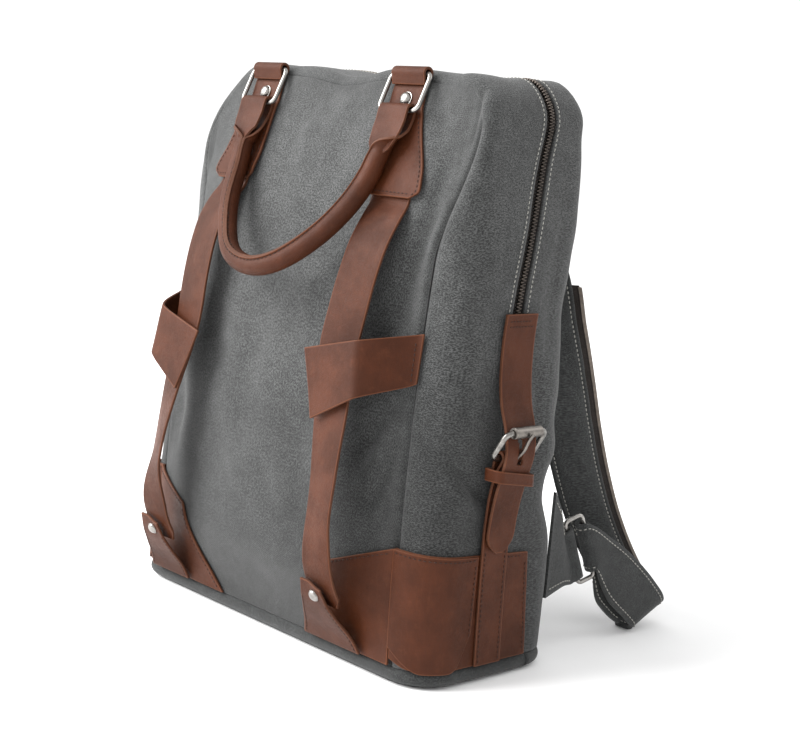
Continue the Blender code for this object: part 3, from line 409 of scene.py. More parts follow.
def pulled(spot):
    """Where the loose cloth really hangs: the top sags between the rings and the back is drawn in."""
    x, y, z = spot
    top = ease(0.360, 0.412, z)
    sag = 0.0060 * math.exp(-((x - 0.008) / 0.034) ** 2) + 0.0040 * math.exp(-((x - 0.152) / 0.022) ** 2)
    sag -= 0.0030 * math.exp(-((x + 0.115) / 0.030) ** 2) - 0.0020 * math.exp(-((x - 0.110) / 0.014) ** 2)
    behind = ease(0.015, 0.065, y)
    waist = ease(0.085, 0.125, z) * (1.0 - ease(0.235, 0.320, z)) - 0.55 * math.exp(-((z - 0.157) / 0.016) ** 2)
    draw = 0.0042 * behind * waist
    side = 1.0 if x > 0.0 else -1.0
    edge = ease(0.090, 0.150, abs(x))
    return Vector((x - side * draw * edge, y - draw * edge, z - sag * top))


def give(spot, normal):
    """A point of the cloth after its folds, creases and sag. The normal points out of the bag."""
    x, y, z = spot
    facing = max(-normal.y, 0.0) ** 2
    beside = normal.x ** 2
    push = 0.0
    if facing > 0.02:
        push += facing * fold_push(FRONT_FOLDS, x, z)
    if beside > 0.02:
        push += beside * fold_push(SIDE_FOLDS, y, z)
    seam_gap = abs(abs(x) - half_width(z) + front_radius(z))
    push *= ease(0.0, 0.008, seam_gap)
    steady = ease(0.0, 0.010, seam_gap) if y < 0.0 else 1.0
    steady *= 1.0 - 0.75 * ease(0.355, 0.385, z) * (1.0 - ease(0.010, 0.030, abs(abs(x) - RING_X)))
    steady *= 0.30 + 0.70 * ease(0.085, 0.120, z)
    push += steady * (0.0026 * noise.noise(spot * 12.0) + 0.0013 * noise.noise(spot * 33.0 + Vector((3, 1, 2))))
    patch = ease(0.270, 0.300, z) * (1.0 - ease(0.036, 0.050, abs(abs(x) - 0.084))) * facing
    push = min(push, mix(0.0060, 0.0002, patch))
    ripple = noise.noise(Vector((x * 42.0 + z * 16.0, y * 42.0, z * 22.0 - x * 12.0)))
    push += steady * (1.0 - patch) * 0.0007 * ripple
    return pulled(spot) + normal * push


def outward_of(spot, normal):
    """The normal turned so that it points away from the middle of the bag."""
    middle = Vector((0.0, 0.010, min(max(spot.z, 0.060), 0.330)))
    return normal if normal.dot(spot - middle) > 0.0 else -normal


# ---------------------------------------------------------------- materials

def node(tree, kind, inputs=None, **settings):
    made = tree.nodes.new(kind)
    for key, value in settings.items():
        setattr(made, key, value)
    for key, value in (inputs or {}).items():
        if isinstance(value, bpy.types.NodeSocket):
            tree.links.new(value, made.inputs[key])
        else:
            made.inputs[key].default_value = value
    return made


def calc(tree, operation, a, b=0.5):
    return node(tree, "ShaderNodeMath", {0: a, 1: b}, operation=operation).outputs[0]


def span(tree, value, low, high, out_low=0.0, out_high=1.0):
    sizes = {"Value": value, 1: low, 2: high, 3: out_low, 4: out_high}
    return node(tree, "ShaderNodeMapRange", sizes, interpolation_type="SMOOTHSTEP").outputs[0]


def tint(tree, share, a, b, blend="MIX"):
    made = node(tree, "ShaderNodeMix", {0: share}, data_type="RGBA", blend_type=blend)
    for slot, colour in ((6, a), (7, b)):
        if isinstance(colour, bpy.types.NodeSocket):
            tree.links.new(colour, made.inputs[slot])
        else:
            made.inputs[slot].default_value = (*colour, 1.0)
    return made.outputs[2]


def cloud(tree, where, scale, detail=3.0, roughness=0.55, stretch=None):
    """Noise of so many lumps to the metre, from 0 to 1."""
    if stretch:
        where = node(tree, "ShaderNodeMapping", {"Vector": where, "Scale": stretch}).outputs[0]
    sizes = {"Vector": where, "Scale": scale, "Detail": detail, "Roughness": roughness}
    return node(tree, "ShaderNodeTexNoise", sizes).outputs[0]


def new_look(name, shown, roughness, metallic=0.0, **steady):
    """A node material with its shader, its tree, the place of a point, and its place on the flat cloth."""
    look = bpy.data.materials.new(name)
    look.use_nodes = True
    look.diffuse_color = (*shown, 1.0)
    tree = look.node_tree
    shader = tree.nodes["Principled BSDF"]
    shader.inputs["Base Color"].default_value = (*shown, 1.0)
    shader.inputs["Roughness"].default_value = roughness
    shader.inputs["Metallic"].default_value = metallic
    for key, value in steady.items():
        shader.inputs[key.replace("_", " ")].default_value = value
    place = node(tree, "ShaderNodeTexCoord").outputs["Object"]
    flat = node(tree, "ShaderNodeUVMap", uv_map="flat").outputs[0]
    return look, tree, shader, place, flat


def bump(tree, height, depth, under=None, strength=1.0):
    inputs = {"Height": height, "Distance": depth, "Strength": strength}
    if under is not None:
        inputs["Normal"] = under
    return node(tree, "ShaderNodeBump", inputs).outputs[0]


def near_edge(tree, reach, most=1.0):
    """The most at the sheet's edge, falling to 0 at reach metres from it."""
    edge = node(tree, "ShaderNodeAttribute", attribute_name="edge").outputs["Fac"]
    return span(tree, edge, 0.0, reach, most, 0.0)


def grey_of(tree, shade):
    return node(tree, "ShaderNodeCombineXYZ", {0: shade, 1: shade, 2: shade}).outputs[0]


def weave(tree, flat, pitch):
    """Plain weave height from two crossed rows of yarns."""
    parts = node(tree, "ShaderNodeSeparateXYZ", {0: flat}).outputs
    turn = math.pi / pitch
    warp = calc(tree, "SINE", calc(tree, "MULTIPLY", parts[0], turn))
    weft = calc(tree, "SINE", calc(tree, "MULTIPLY", parts[1], turn))
    over = calc(tree, "MULTIPLY", warp, weft)
    ridges = calc(tree, "ADD", calc(tree, "ABSOLUTE", warp), calc(tree, "ABSOLUTE", weft))
    return calc(tree, "ADD", calc(tree, "MULTIPLY", over, 0.5), calc(tree, "MULTIPLY", ridges, 0.35))


def cloth_look(name, base, pitch, depth, fleck=1.0, worn=0.35, dirt_and_painted_shade=0.70):
    """Washed cotton canvas: crossed yarns, slubs, flecks, faded patches, paler seams, and painted shade that
    darkens it towards the base.
    """
    look, tree, shader, place, flat = new_look(name, base, 0.92, Specular_IOR_Level=0.20)
    shader.inputs["Sheen Weight"].default_value = 0.12
    shader.inputs["Sheen Roughness"].default_value = 0.55
    dark = tuple(c * 0.42 for c in base)
    pale = tuple(min(c * 1.95 + 0.006, 1.0) for c in base)
    flecks = cloud(tree, flat, 950.0, 3.0, 0.7)
    warp_slubs = cloud(tree, flat, 1.0, 2.0, 0.5, (1500.0, 90.0, 1.0))
    weft_slubs = cloud(tree, flat, 1.0, 2.0, 0.5, (90.0, 1500.0, 1.0))
    slubs = calc(tree, "ADD", warp_slubs, weft_slubs)
    colour = tint(tree, span(tree, slubs, 0.80, 1.20), dark, pale)
    colour = tint(tree, 0.45, base, colour)
    speck = tint(tree, span(tree, flecks, 0.39, 0.63), dark, pale)
    colour = tint(tree, 0.90 * fleck, colour, speck)
    patches = cloud(tree, place, 16.0, 4.0, 0.6)
    blots = cloud(tree, place, 120.0, 4.0, 0.7)
    shade = calc(tree, "ADD", span(tree, patches, 0.3, 0.7, 0.84, 1.10), span(tree, blots, 0.3, 0.7, -0.16, 0.18))
    height = node(tree, "ShaderNodeSeparateXYZ", {0: place}).outputs[2]
    # Painted shade: the cloth darkens towards the base and brightens a little near the top, standing in for light
    # falling from above.
    shade = calc(tree, "MULTIPLY", shade, span(tree, height, 0.0, 0.34, dirt_and_painted_shade, 1.04))
    colour = tint(tree, 1.0, colour, grey_of(tree, shade), "MULTIPLY")
    rub = calc(tree, "MULTIPLY", near_edge(tree, 0.0045, worn), span(tree, flecks, 0.35, 0.62, 0.35, 1.0))
    colour = tint(tree, rub, colour, pale)
    tree.links.new(colour, shader.inputs["Base Color"])
    rough = bump(tree, flecks, 0.00025, None, 0.55)
    pucker = bump(tree, cloud(tree, place, 260.0, 3.0), 0.0006, rough, 0.30)
    tree.links.new(bump(tree, weave(tree, flat, pitch), depth, pucker, 0.75), shader.inputs["Normal"])
    return look


def leather_look(name, base, pale, edge_share=0.75):
    """Oiled pull-up leather: fine grain, darker and paler clouds, scuffs and a raw paler edge."""
    look, tree, shader, place, flat = new_look(name, base, 0.50, Specular_IOR_Level=0.15)
    dark = tuple(c * 0.58 for c in base)
    clouds = cloud(tree, place, 24.0, 4.0, 0.6)
    spots = cloud(tree, place, 130.0, 3.0, 0.65)
    fine = cloud(tree, place, 700.0, 2.0, 0.6)
    colour = tint(tree, span(tree, clouds, 0.32, 0.70), dark, base)
    colour = tint(tree, span(tree, spots, 0.50, 0.78, 0.0, 0.16), colour, pale)
    colour = tint(tree, span(tree, fine, 0.40, 0.70, 0.0, 0.22), colour, dark)
    streaks = cloud(tree, flat, 1.0, 3.0, 0.6, (420.0, 26.0, 1.0))
    colour = tint(tree, span(tree, streaks, 0.52, 0.80, 0.0, 0.10), colour, pale)
    scuffs = cloud(tree, place, 48.0, 5.0, 0.75, (1.0, 1.0, 2.2))
    colour = tint(tree, span(tree, scuffs, 0.60, 0.76, 0.0, 0.13), colour, pale)
    colour = tint(tree, near_edge(tree, 0.0040, 0.25), colour, dark)
    colour = tint(tree, near_edge(tree, 0.0013, edge_share), colour, pale)
    tree.links.new(colour, shader.inputs["Base Color"])
    gloss = calc(tree, "ADD", span(tree, clouds, 0.3, 0.7, 0.58, 0.44), span(tree, fine, 0.3, 0.7, 0.06, -0.04))
    tree.links.new(gloss, shader.inputs["Roughness"])
    cells = node(tree, "ShaderNodeTexVoronoi", {"Vector": place, "Scale": 1500.0}, feature="DISTANCE_TO_EDGE")
    grain = span(tree, cells.outputs["Distance"], 0.0, 0.16)
    low = bump(tree, cloud(tree, place, 110.0, 4.0, 0.6), 0.0010, None, 0.35)
    mid = bump(tree, fine, 0.00022, low, 0.45)
    tree.links.new(bump(tree, grain, 0.00010, mid, 0.55), shader.inputs["Normal"])
    return look


def metal_look(name, base, roughness, worn):
    """Brushed metal: fine scratches, with duller patches of the worn colour."""
    look, tree, shader, place, _ = new_look(name, base, roughness, 1.0)
    patches = cloud(tree, place, 240.0, 4.0, 0.65)
    scratches = cloud(tree, place, 1.0, 3.0, 0.6, (300.0, 300.0, 2600.0))
    tree.links.new(tint(tree, span(tree, patches, 0.35, 0.70), base, worn), shader.inputs["Base Color"])
    polish = calc(tree, "ADD", span(tree, patches, 0.3, 0.7, roughness - 0.07, roughness + 0.12),
                  span(tree, scratches, 0.45, 0.75, 0.0, 0.10))
    tree.links.new(polish, shader.inputs["Roughness"])
    tree.links.new(bump(tree, scratches, 0.00006, None, 0.35), shader.inputs["Normal"])
    return look


def thread_look(name, base, pale):
    """Twisted thread, its plies running round each stitch."""
    look, tree, shader, place, _ = new_look(name, base, 0.75, Specular_IOR_Level=0.30)
    plies = cloud(tree, place, 1900.0, 2.0, 0.6)
    # Random patches of dirt on the thread.
    dirt_and_painted_shade = cloud(tree, place, 60.0, 3.0, 0.6)
    colour = tint(tree, span(tree, plies, 0.35, 0.65), base, pale)
    colour = tint(tree, span(tree, dirt_and_painted_shade, 0.50, 0.80, 0.0, 0.35), colour, tuple(c * 0.6 for c in base))
    tree.links.new(colour, shader.inputs["Base Color"])
    tree.links.new(bump(tree, plies, 0.00015, None, 0.6), shader.inputs["Normal"])
    return look


# The last number of each cloth look sets how dark its painted shade is at the base.
CANVAS_LOOK = cloth_look("washed_canvas", (0.0372, 0.0380, 0.0376), 0.00075, 0.00022, 1.0, 0.35, 0.62)
STRAP_LOOK = cloth_look("strap_canvas_woven", (0.0255, 0.0265, 0.0262), 0.00080, 0.00022, 0.8, 0.45, 0.9)
LINING_LOOK = cloth_look("lining_cloth", (0.040, 0.043, 0.048), 0.00050, 0.00010, 0.5, 0.0, 1.0)
TAPE_LOOK = cloth_look("woven_zip_tape", (0.0125, 0.0090, 0.0075), 0.00055, 0.00016, 0.5, 0.0, 1.0)
LEATHER_LOOK = leather_look("pull_up_leather", (0.0640, 0.0165, 0.0050), (0.135, 0.044, 0.018))
RAW_LOOK = leather_look("raw_leather_edge", (0.105, 0.040, 0.021), (0.170, 0.075, 0.044), 0.0)
NICKEL_LOOK = metal_look("brushed_nickel", (0.33, 0.318, 0.300), 0.27, (0.27, 0.255, 0.24))
BUCKLE_LOOK = metal_look("aged_nickel", (0.25, 0.24, 0.225), 0.27, (0.16, 0.15, 0.14))
GUN_LOOK = metal_look("antique_gunmetal", (0.15, 0.136, 0.125), 0.34, (0.22, 0.20, 0.18))
TEETH_LOOK = metal_look("antique_zip_metal", (0.095, 0.080, 0.070), 0.38, (0.16, 0.135, 0.115))
WHITE_THREAD = thread_look("pale_thread", (0.23, 0.225, 0.205), (0.36, 0.35, 0.32))
BROWN_THREAD = thread_look("brown_thread", (0.016, 0.0065, 0.0042), (0.045, 0.019, 0.012))


# ---------------------------------------------------------------- making pieces

HOME = {name: body for body, names in frame["record"]["behaviour"]["bodies"].items() for name in names}


def own(obj, *nodes):
    """The piece rides where its first CAD node rides and stands for all the nodes."""
    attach(obj, HOME[nodes[0]])
    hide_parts(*nodes)
    return obj


def extra(obj, node_name):
    """A piece beside a CAD node, such as its stitches: it rides as that node does."""
    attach(obj, HOME[node_name])
    return obj


@contextlib.contextmanager
def edited(mesh):
    """The mesh opened for editing, and written back at the end."""
    work = bmesh.new()
    work.from_mesh(mesh)
    yield work
    work.to_mesh(mesh)
    work.free()


def add_object(name, data, *looks):
    obj = bpy.data.objects.new(name, data)
    for look in looks:
        data.materials.append(look)
    bpy.context.scene.collection.objects.link(obj)
    return obj


def grid_mesh(name, place, across, along, closed=False):
    """A grid of place(a, b), with its flat place in metres and each point's distance from the edge."""
    rows = [[place(i / across, j / along) for i in range(across + (0 if closed else 1))] for j in range(along + 1)]
    count = len(rows[0])
    middle = rows[along // 2]
    width = lengths_along(middle)[-1]
    centre = [row[count // 2] for row in rows]
    length = lengths_along(centre)[-1]
    faces = []
    for j in range(along):
        for i in range(across):
            k = (i + 1) % count
            faces.append((j * count + i, j * count + k, (j + 1) * count + k, (j + 1) * count + i))
    mesh = bpy.data.meshes.new(name)
    mesh.from_pydata([spot for row in rows for spot in row], [], faces)
    layer = mesh.uv_layers.new(name="flat")
    for j in range(along):
        for i in range(across):
            start = (j * across + i) * 4
            for turn, (di, dj) in enumerate(((0, 0), (1, 0), (1, 1), (0, 1))):
                layer.data[start + turn].uv = ((i + di) / across * width, (j + dj) / along * length)
    edge = mesh.attributes.new("edge", "FLOAT", "POINT")
    for j in range(along + 1):
        for i in range(count):
            ends = min(j, along - j) / along * length
            sides = ends if closed else min(i, across - i) / across * width
            edge.data[j * count + i].value = min(ends, sides)
    mesh.shade_smooth()
    return mesh


def loosen(mesh, by=give):
    """Moves the mesh as the cloth gives."""
    moved = [by(vert.co.copy(), outward_of(vert.co, vert.normal.copy())) for vert in mesh.vertices]
    for vert, spot in zip(mesh.vertices, moved):
        vert.co = spot


def sheet(name, look, place, across, along, thickness, loose=False, edge=0.0005, closed=False, raw=None):
    """A sheet of even thickness about place(a, b), with rounded edges and, for leather, a raw rim."""
    mesh = grid_mesh(name, place, across, along, closed)
    if loose:
        loosen(mesh)
    obj = add_object(name, mesh, look)
    if raw:
        mesh.materials.append(raw)
    solid = obj.modifiers.new("thickness", "SOLIDIFY")
    solid.thickness = thickness
    solid.offset = 0.0
    if raw:
        solid.material_offset_rim = 1
    if edge:
        bevel = obj.modifiers.new("edges", "BEVEL")
        bevel.width = edge
        bevel.segments = 2
        bevel.limit_method = "ANGLE"
        bevel.angle_limit = math.radians(50)
    return obj


def hide_sheet(name, place, across, along, thickness=LEATHER, loose=False):
    return sheet(name, LEATHER_LOOK, place, across, along, thickness, loose, 0.0005, False, RAW_LOOK)


def tube(name, look, points, radius, closed=False, resolution=6):
    """A round wire through the points."""
    curve = bpy.data.curves.new(name, "CURVE")
    curve.dimensions = "3D"
    curve.bevel_depth = radius
    curve.bevel_resolution = resolution
    curve.use_fill_caps = True
    line = curve.splines.new("POLY")
    line.points.add(len(points) - 1)
    for slot, point in zip(line.points, points):
        slot.co = (*point, 1.0)
    line.use_cyclic_u = closed
    line.use_smooth = True
    graph_object = add_object(name + "_line", curve)
    graph = bpy.context.evaluated_depsgraph_get()
    mesh = bpy.data.meshes.new_from_object(graph_object.evaluated_get(graph))
    bpy.data.objects.remove(graph_object, do_unlink=True)
    mesh.name = name
    mesh.materials.clear()
    mesh.shade_smooth()
    mesh.set_sharp_from_angle(angle=math.radians(50))
    return add_object(name, mesh, look)


WELD = 0.000005


def turned(name, look, profile, place, steps=48):
    """A solid turned about the local Z axis from (radius, height) pairs running top to bottom."""
    verts, faces = [], []
    for radius, height in profile:
        for step in range(steps):
            turn = 2.0 * math.pi * step / steps
            verts.append(place @ Vector((radius * math.cos(turn), radius * math.sin(turn), height)))
    for row in range(len(profile) - 1):
        for step in range(steps):
            after = (step + 1) % steps
            low, high = row * steps, (row + 1) * steps
            faces.append((low + step, high + step, high + after, low + after))
    mesh = bpy.data.meshes.new(name)
    mesh.from_pydata(verts, [], faces)
    with edited(mesh) as weld:
        bmesh.ops.remove_doubles(weld, verts=weld.verts, dist=WELD)
        bmesh.ops.recalc_face_normals(weld, faces=weld.faces)
    mesh.shade_smooth()
    mesh.set_sharp_from_angle(angle=math.radians(40))
    return add_object(name, mesh, look)


class Stitches:
    """Rows of stitches gathered into one piece."""

    def __init__(self, name, look, like, radius=0.00042, pitch=0.0036, length=0.0024):
        self.name, self.look, self.like = name, look, like
        self.radius, self.pitch, self.length = radius, pitch, length
        self.verts, self.faces = [], []

    def one(self, start, end, normal):
        way = end - start
        across = normal.cross(way).normalized()
        base = len(self.verts)
        self.verts.append(start - normal * self.radius * 1.2)
        for share, size, lift in ((0.10, 0.75, 0.1), (0.5, 1.0, 0.55), (0.90, 0.75, 0.1)):
            for step in range(6):
                turn = math.pi / 3 * step
                spot = across * math.cos(turn) * size + normal * (math.sin(turn) * 0.8 * size + lift)
                self.verts.append(start + way * share + spot * self.radius)
        self.verts.append(end - normal * self.radius * 1.2)
        for step in range(6):
            after = (step + 1) % 6
            self.faces.append((base, base + 1 + after, base + 1 + step))
            for ring in (1, 7):
                self.faces.append((base + ring + step, base + ring + after, base + ring + 6 + after,
                                   base + ring + 6 + step))
            self.faces.append((base + 19, base + 13 + step, base + 13 + after))

    def row(self, surface, a, b, face=LEATHER / 2, loose=False, samples=240, pitch=None, length=None):
        """A straight row on surface(a, b). Each of a and b is one share, or the first and the last."""
        (a0, a1), (b0, b1) = (value if isinstance(value, tuple) else (value, value) for value in (a, b))
        self.on(surface, lambda t: (mix(a0, a1, t), mix(b0, b1, t)), face, loose, samples, pitch, length)

    def on(self, surface, route, face=LEATHER / 2, loose=False, samples=240, pitch=None, length=None):
        """Stitches on surface(a, b) along route(t) = (a, b), face metres off it on the side it faces."""
        spots, normals = [], []
        for i in range(samples + 1):
            a, b = route(i / samples)
            spot = surface(a, b)
            normal = outward_of(spot, slope(surface, a, b))
            if loose:
                spot = give(spot, normal)
            spots.append(spot + normal * face)
            normals.append(normal if face > 0.0 else -normal)
        self.along(spots, normals, pitch, length)

    def along(self, spots, normals, pitch=None, length=None):
        """Stitches along the points, each standing up along its normal."""
        pitch, length = pitch or self.pitch, length or self.length
        reaches = lengths_along(spots)

        def at(far):
            i, part = step_at(reaches, far)
            return spots[i - 1].lerp(spots[i], part), normals[i - 1].lerp(normals[i], part)

        for step in range(int(reaches[-1] / pitch)):
            start, normal = at(step * pitch + (pitch - length) / 2)
            end, other = at(step * pitch + (pitch + length) / 2)
            self.one(start, end, (normal + other).normalized())

    def finish(self):
        mesh = bpy.data.meshes.new(self.name)
        mesh.from_pydata(self.verts, [], self.faces)
        mesh.shade_smooth()
        return extra(add_object(self.name, mesh, self.look), self.like)


def slope(surface, a, b):
    """The surface's normal, on either side."""
    step = 0.003
    ahead = surface(min(a + step, 1.0), b) - surface(max(a - step, 0.0), b)
    up = surface(a, min(b + step, 1.0)) - surface(a, max(b - step, 0.0))
    return ahead.cross(up).normalized()


# ---------------------------------------------------------------- canvas body

SEAM_DEPTH = 0.0022
SEAM_HALF = 0.0023
SEAM_INSET = 0.0032
FRONT_GUSSET = 0.066
BACK_GUSSET = 0.080
THICK_THREAD = 0.00050
THIN_THREAD = 0.00040


def crowd(share):
    """Even steps drawn closer together near both ends."""
    return mix(share, ease(0.0, 1.0, share), 0.72)


def tuck(gap, z):
    """How far the cloth dips towards a seam at this distance from it. Over the top the seam hardly shows."""
    return SEAM_DEPTH * math.exp(-(gap / SEAM_HALF) ** 2) * (1.0 - ease(0.378, 0.396, z))


def panel_place(radius_of, depth_of, sign):
    right_end = (TOP_Z - RIGHT_CORNER - PANEL_BOTTOM + RIGHT_CORNER * math.pi / 4) / ROUTE_LENGTH
    left_end = 1.0 - (TOP_Z - LEFT_CORNER_DROP * 0.55 - PANEL_BOTTOM) / ROUTE_LENGTH
    foot_left, foot_right = panel_edge(1.0, radius_of), panel_edge(0.0, radius_of)
    head_left, head_right = panel_edge(left_end, radius_of), panel_edge(right_end, radius_of)

    def place(share_a, share_b):
        a, b = crowd(share_a), crowd(share_b)
        right = panel_edge(b * right_end, radius_of)
        left = panel_edge(1.0 - b * (1.0 - left_end), radius_of)
        top = panel_edge(mix(left_end, right_end, a), radius_of)
        foot = foot_left.lerp(foot_right, a)
        corners = foot.lerp(head_left.lerp(head_right, a), b)
        spot = left.lerp(right, a) + foot.lerp(top, b) - corners
        dip = max(tuck(min(a, 1.0 - a) * 0.29, spot.y), tuck((1.0 - b) * 0.40, spot.y))
        return Vector((spot.x, depth_of(spot.x, spot.y) + sign * dip, spot.y))

    return place


def make_panels():
    front = panel_place(front_radius, lambda x, z: front_y(z) - front_bulge(x, z), 1.0)
    own(sheet("front_cloth", CANVAS_LOOK, front, 110, 130, CANVAS, True, 0.0), "front_panel")
    back = panel_place(back_radius, lambda x, z: back_y(z), -1.0)
    own(sheet("back_cloth", CANVAS_LOOK, back, 80, 90, CANVAS, True, 0.0), "back_panel")


def front_side(a, b):
    reach = mix(0.0, zip_reach(b) - zip_half_opening(b), a)
    return gusset_at(b, reach, -tuck(reach, route_at(b)[0].y))


def back_side(a, b):
    depth = gusset_depth(b)
    reach = mix(zip_reach(b) + zip_half_opening(b), depth, a)
    return gusset_at(b, reach, -tuck(depth - reach, route_at(b)[0].y))


def make_gussets():
    own(sheet("front_side_cloth", CANVAS_LOOK, lambda a, b: front_side(crowd(a), b), 30, 440, CANVAS, True, 0.0),
        "front_gusset")
    own(sheet("back_side_cloth", CANVAS_LOOK, lambda a, b: back_side(crowd(a), b), 28, 440, CANVAS, True, 0.0),
        "back_gusset")
    rows = Stitches("zip_seam_stitches", WHITE_THREAD, "front_gusset", THICK_THREAD, 0.0034)
    low = route_share(ZIP_BOTTOM - 0.004, 1)
    for side, a in ((front_side, 1.0 - SEAM_INSET / FRONT_GUSSET), (back_side, SEAM_INSET / BACK_GUSSET)):
        rows.row(side, a, (low, 1.0 - low), CANVAS / 2, True, 900)
    rows.finish()


def base_outline(inset):
    """The rounded outline of the base, drawn in by inset."""
    half_x, half_y = half_width(0.0) - inset, BASE_DEPTH / 2 - inset
    return rounded_box(half_x, half_y, FRONT_CORNER - inset, 16)


RIM_Z = 0.0072


def make_base():
    """The base's floor, the folded canvas rim round it with its bartacks, and the board inside."""
    outline = Path([(x, y, 0.0) for x, y in base_outline(0.0010) + base_outline(0.0010)[:1]], per_span=3)

    def rim(a, b):
        spot = outline.at(a)
        way = outline.way(a % 0.98 + 0.01)
        turn = math.radians(mix(-100.0, 130.0, b))
        ripple = 1.0 + 0.10 * noise.noise(spot * 60.0)
        out = Vector((way.y, -way.x, 0.0))
        lift = Vector((0.0, 0.0, RIM_Z + 0.0045 * math.sin(turn)))
        return spot + out * (0.0042 * math.cos(turn) * ripple - 0.0004) + lift

    # The rim takes the darker strap canvas: partly its own colour, partly painted shade where the bag meets the
    # floor.
    own(sheet("base_rim", STRAP_LOOK, rim, 300, 12, 0.0012, False, 0.0), "base_piping")

    def floor(a, b):
        spot = outline.at(a)
        return Vector((spot.x * mix(0.02, 0.985, b), spot.y * mix(0.02, 0.985, b), 0.0016))

    own(sheet("base_cloth", CANVAS_LOOK, floor, 120, 20, 0.0020, False, 0.0), "base_panel")

    def board(a, b):
        spot = outline.at(a)
        return Vector((spot.x * mix(0.02, 0.92, b), spot.y * mix(0.02, 0.84, b), 0.0050))

    own(sheet("base_stiffener", LINING_LOOK, board, 80, 8, 0.0026, False, 0.0004), "base_board")
    tacks = Stitches("base_bartacks", WHITE_THREAD, "base_piping", THICK_THREAD)
    for share in (0.945, 0.062):
        for step in range(7):
            start = rim((share + step * 0.0010) % 1.0, 0.30)
            end = rim((share + step * 0.0010) % 1.0, 0.72)
            out = Vector((start.x - 0.12 * math.copysign(1.0, start.x), start.y, 0.0)).normalized()
            tacks.one(start + out * 0.0008, end + out * 0.0008, out)
    tacks.finish()


def make_inside():
    def pad(a, b):
        z = mix(0.035, 0.375, b)
        return Vector((mix(-0.118, 0.118, a), back_y(z) - 0.0090, z))

    def sleeve(a, b):
        z = mix(0.030, 0.270, b)
        bow = math.sin(math.pi * mix(0.02, 0.98, a)) ** 0.5
        return Vector((mix(-0.115, 0.115, a), back_y(z) - 0.0150 - 0.018 * bow, z))

    foam = own(sheet("back_padding", LINING_LOOK, pad, 24, 34, 0.0064, False, 0.0016), "back_foam_pad")
    own(sheet("inner_pocket", LINING_LOOK, sleeve, 40, 40, 0.0014, False, 0.0003), "inner_sleeve")


# ---------------------------------------------------------------- zip

class Teeth:
    """Rows of zip teeth gathered into one mesh."""

    def __init__(self, layers):
        self.layers, self.verts, self.faces = layers, [], []

    def add(self, centre, out, across, ahead, narrow_side=0):
        base = len(self.verts)
        for lift, half_across, half_ahead in self.layers:
            for i, j in ((-1, -1), (1, -1), (1, 1), (-1, 1)):
                narrow = 0.55 if i == narrow_side else 1.0
                self.verts.append(centre + out * lift + across * i * half_across + ahead * j * half_ahead * narrow)
        for ring in (base, base + 4):
            for i in range(4):
                k = (i + 1) % 4
                self.faces.append((ring + i, ring + k, ring + 4 + k, ring + 4 + i))
        self.faces += [(base + 8, base + 9, base + 10, base + 11), (base + 3, base + 2, base + 1, base)]

    def finish(self, name):
        mesh = bpy.data.meshes.new(name)
        mesh.from_pydata(self.verts, [], self.faces)
        return add_object(name, mesh, TEETH_LOOK)


ZIP_PITCH = 0.0012
# A tooth's layers: height, half width and half length along the chain
ZIP_TOOTH = ((-0.0010, 0.0014, 0.00054), (0.0007, 0.0014, 0.00054), (0.0012, 0.0010, 0.00030))
HALF_ZIP_TOOTH = ((-0.0016, 0.0011, 0.00070), (0.0006, 0.0012, 0.00070), (0.0014, 0.0008, 0.00042))


def make_zip():
    low = route_share(ZIP_BOTTOM - 0.006, 1)
    for word, sign in (("front", -1), ("back", 1)):
        def tape(a, b, way=sign):
            u = mix(low, 1.0 - low, b)
            return gusset_at(u, zip_reach(u) + way * mix(0.0003, 0.0115, a), -0.0021)

        own(sheet("zip_band_" + word, TAPE_LOOK, tape, 6, 420, 0.0010, True, 0.0), "zip_tape_" + word)

    teeth = Teeth(ZIP_TOOTH)
    first, last = route_share(ZIP_BOTTOM + 0.002, 1), route_share(SLIDER_Z - 0.004, -1)
    count = int((last - first) * ROUTE_LENGTH / ZIP_PITCH)
    for step in range(count):
        u = mix(first, last, (step + 0.5) / count)
        hand = 1 if step % 2 else -1
        reach = zip_reach(u)
        centre = gusset_at(u, reach + hand * 0.0008, 0.0002)
        across = (gusset_at(u, reach + 0.002) - gusset_at(u, reach - 0.002)).normalized()
        ahead = (gusset_at(u + 0.002, reach) - gusset_at(u - 0.002, reach)).normalized()
        out = outward_of(centre, across.cross(ahead).normalized())
        teeth.add(give(centre, out), out, across, ahead, -hand)
    own(teeth.finish("zip_chain"), "zip_teeth")


# ---------------------------------------------------------------- leather on the front

def patch_edge(z):
    """Half width of a ring patch at height z: narrow under the ring, wide and rounded at its foot."""
    wide = mix(0.0262, 0.0168, ease(PATCH_BOTTOM, 0.405, z))
    nook = 0.010 * (1.0 - ease(PATCH_BOTTOM - 0.001, PATCH_BOTTOM + 0.009, z)) ** 2
    return wide - nook


def round_x(radius, angle):
    """A step of this radius about the X axis, from +Y towards +Z."""
    return Vector((0.0, radius * math.cos(angle), radius * math.sin(angle)))


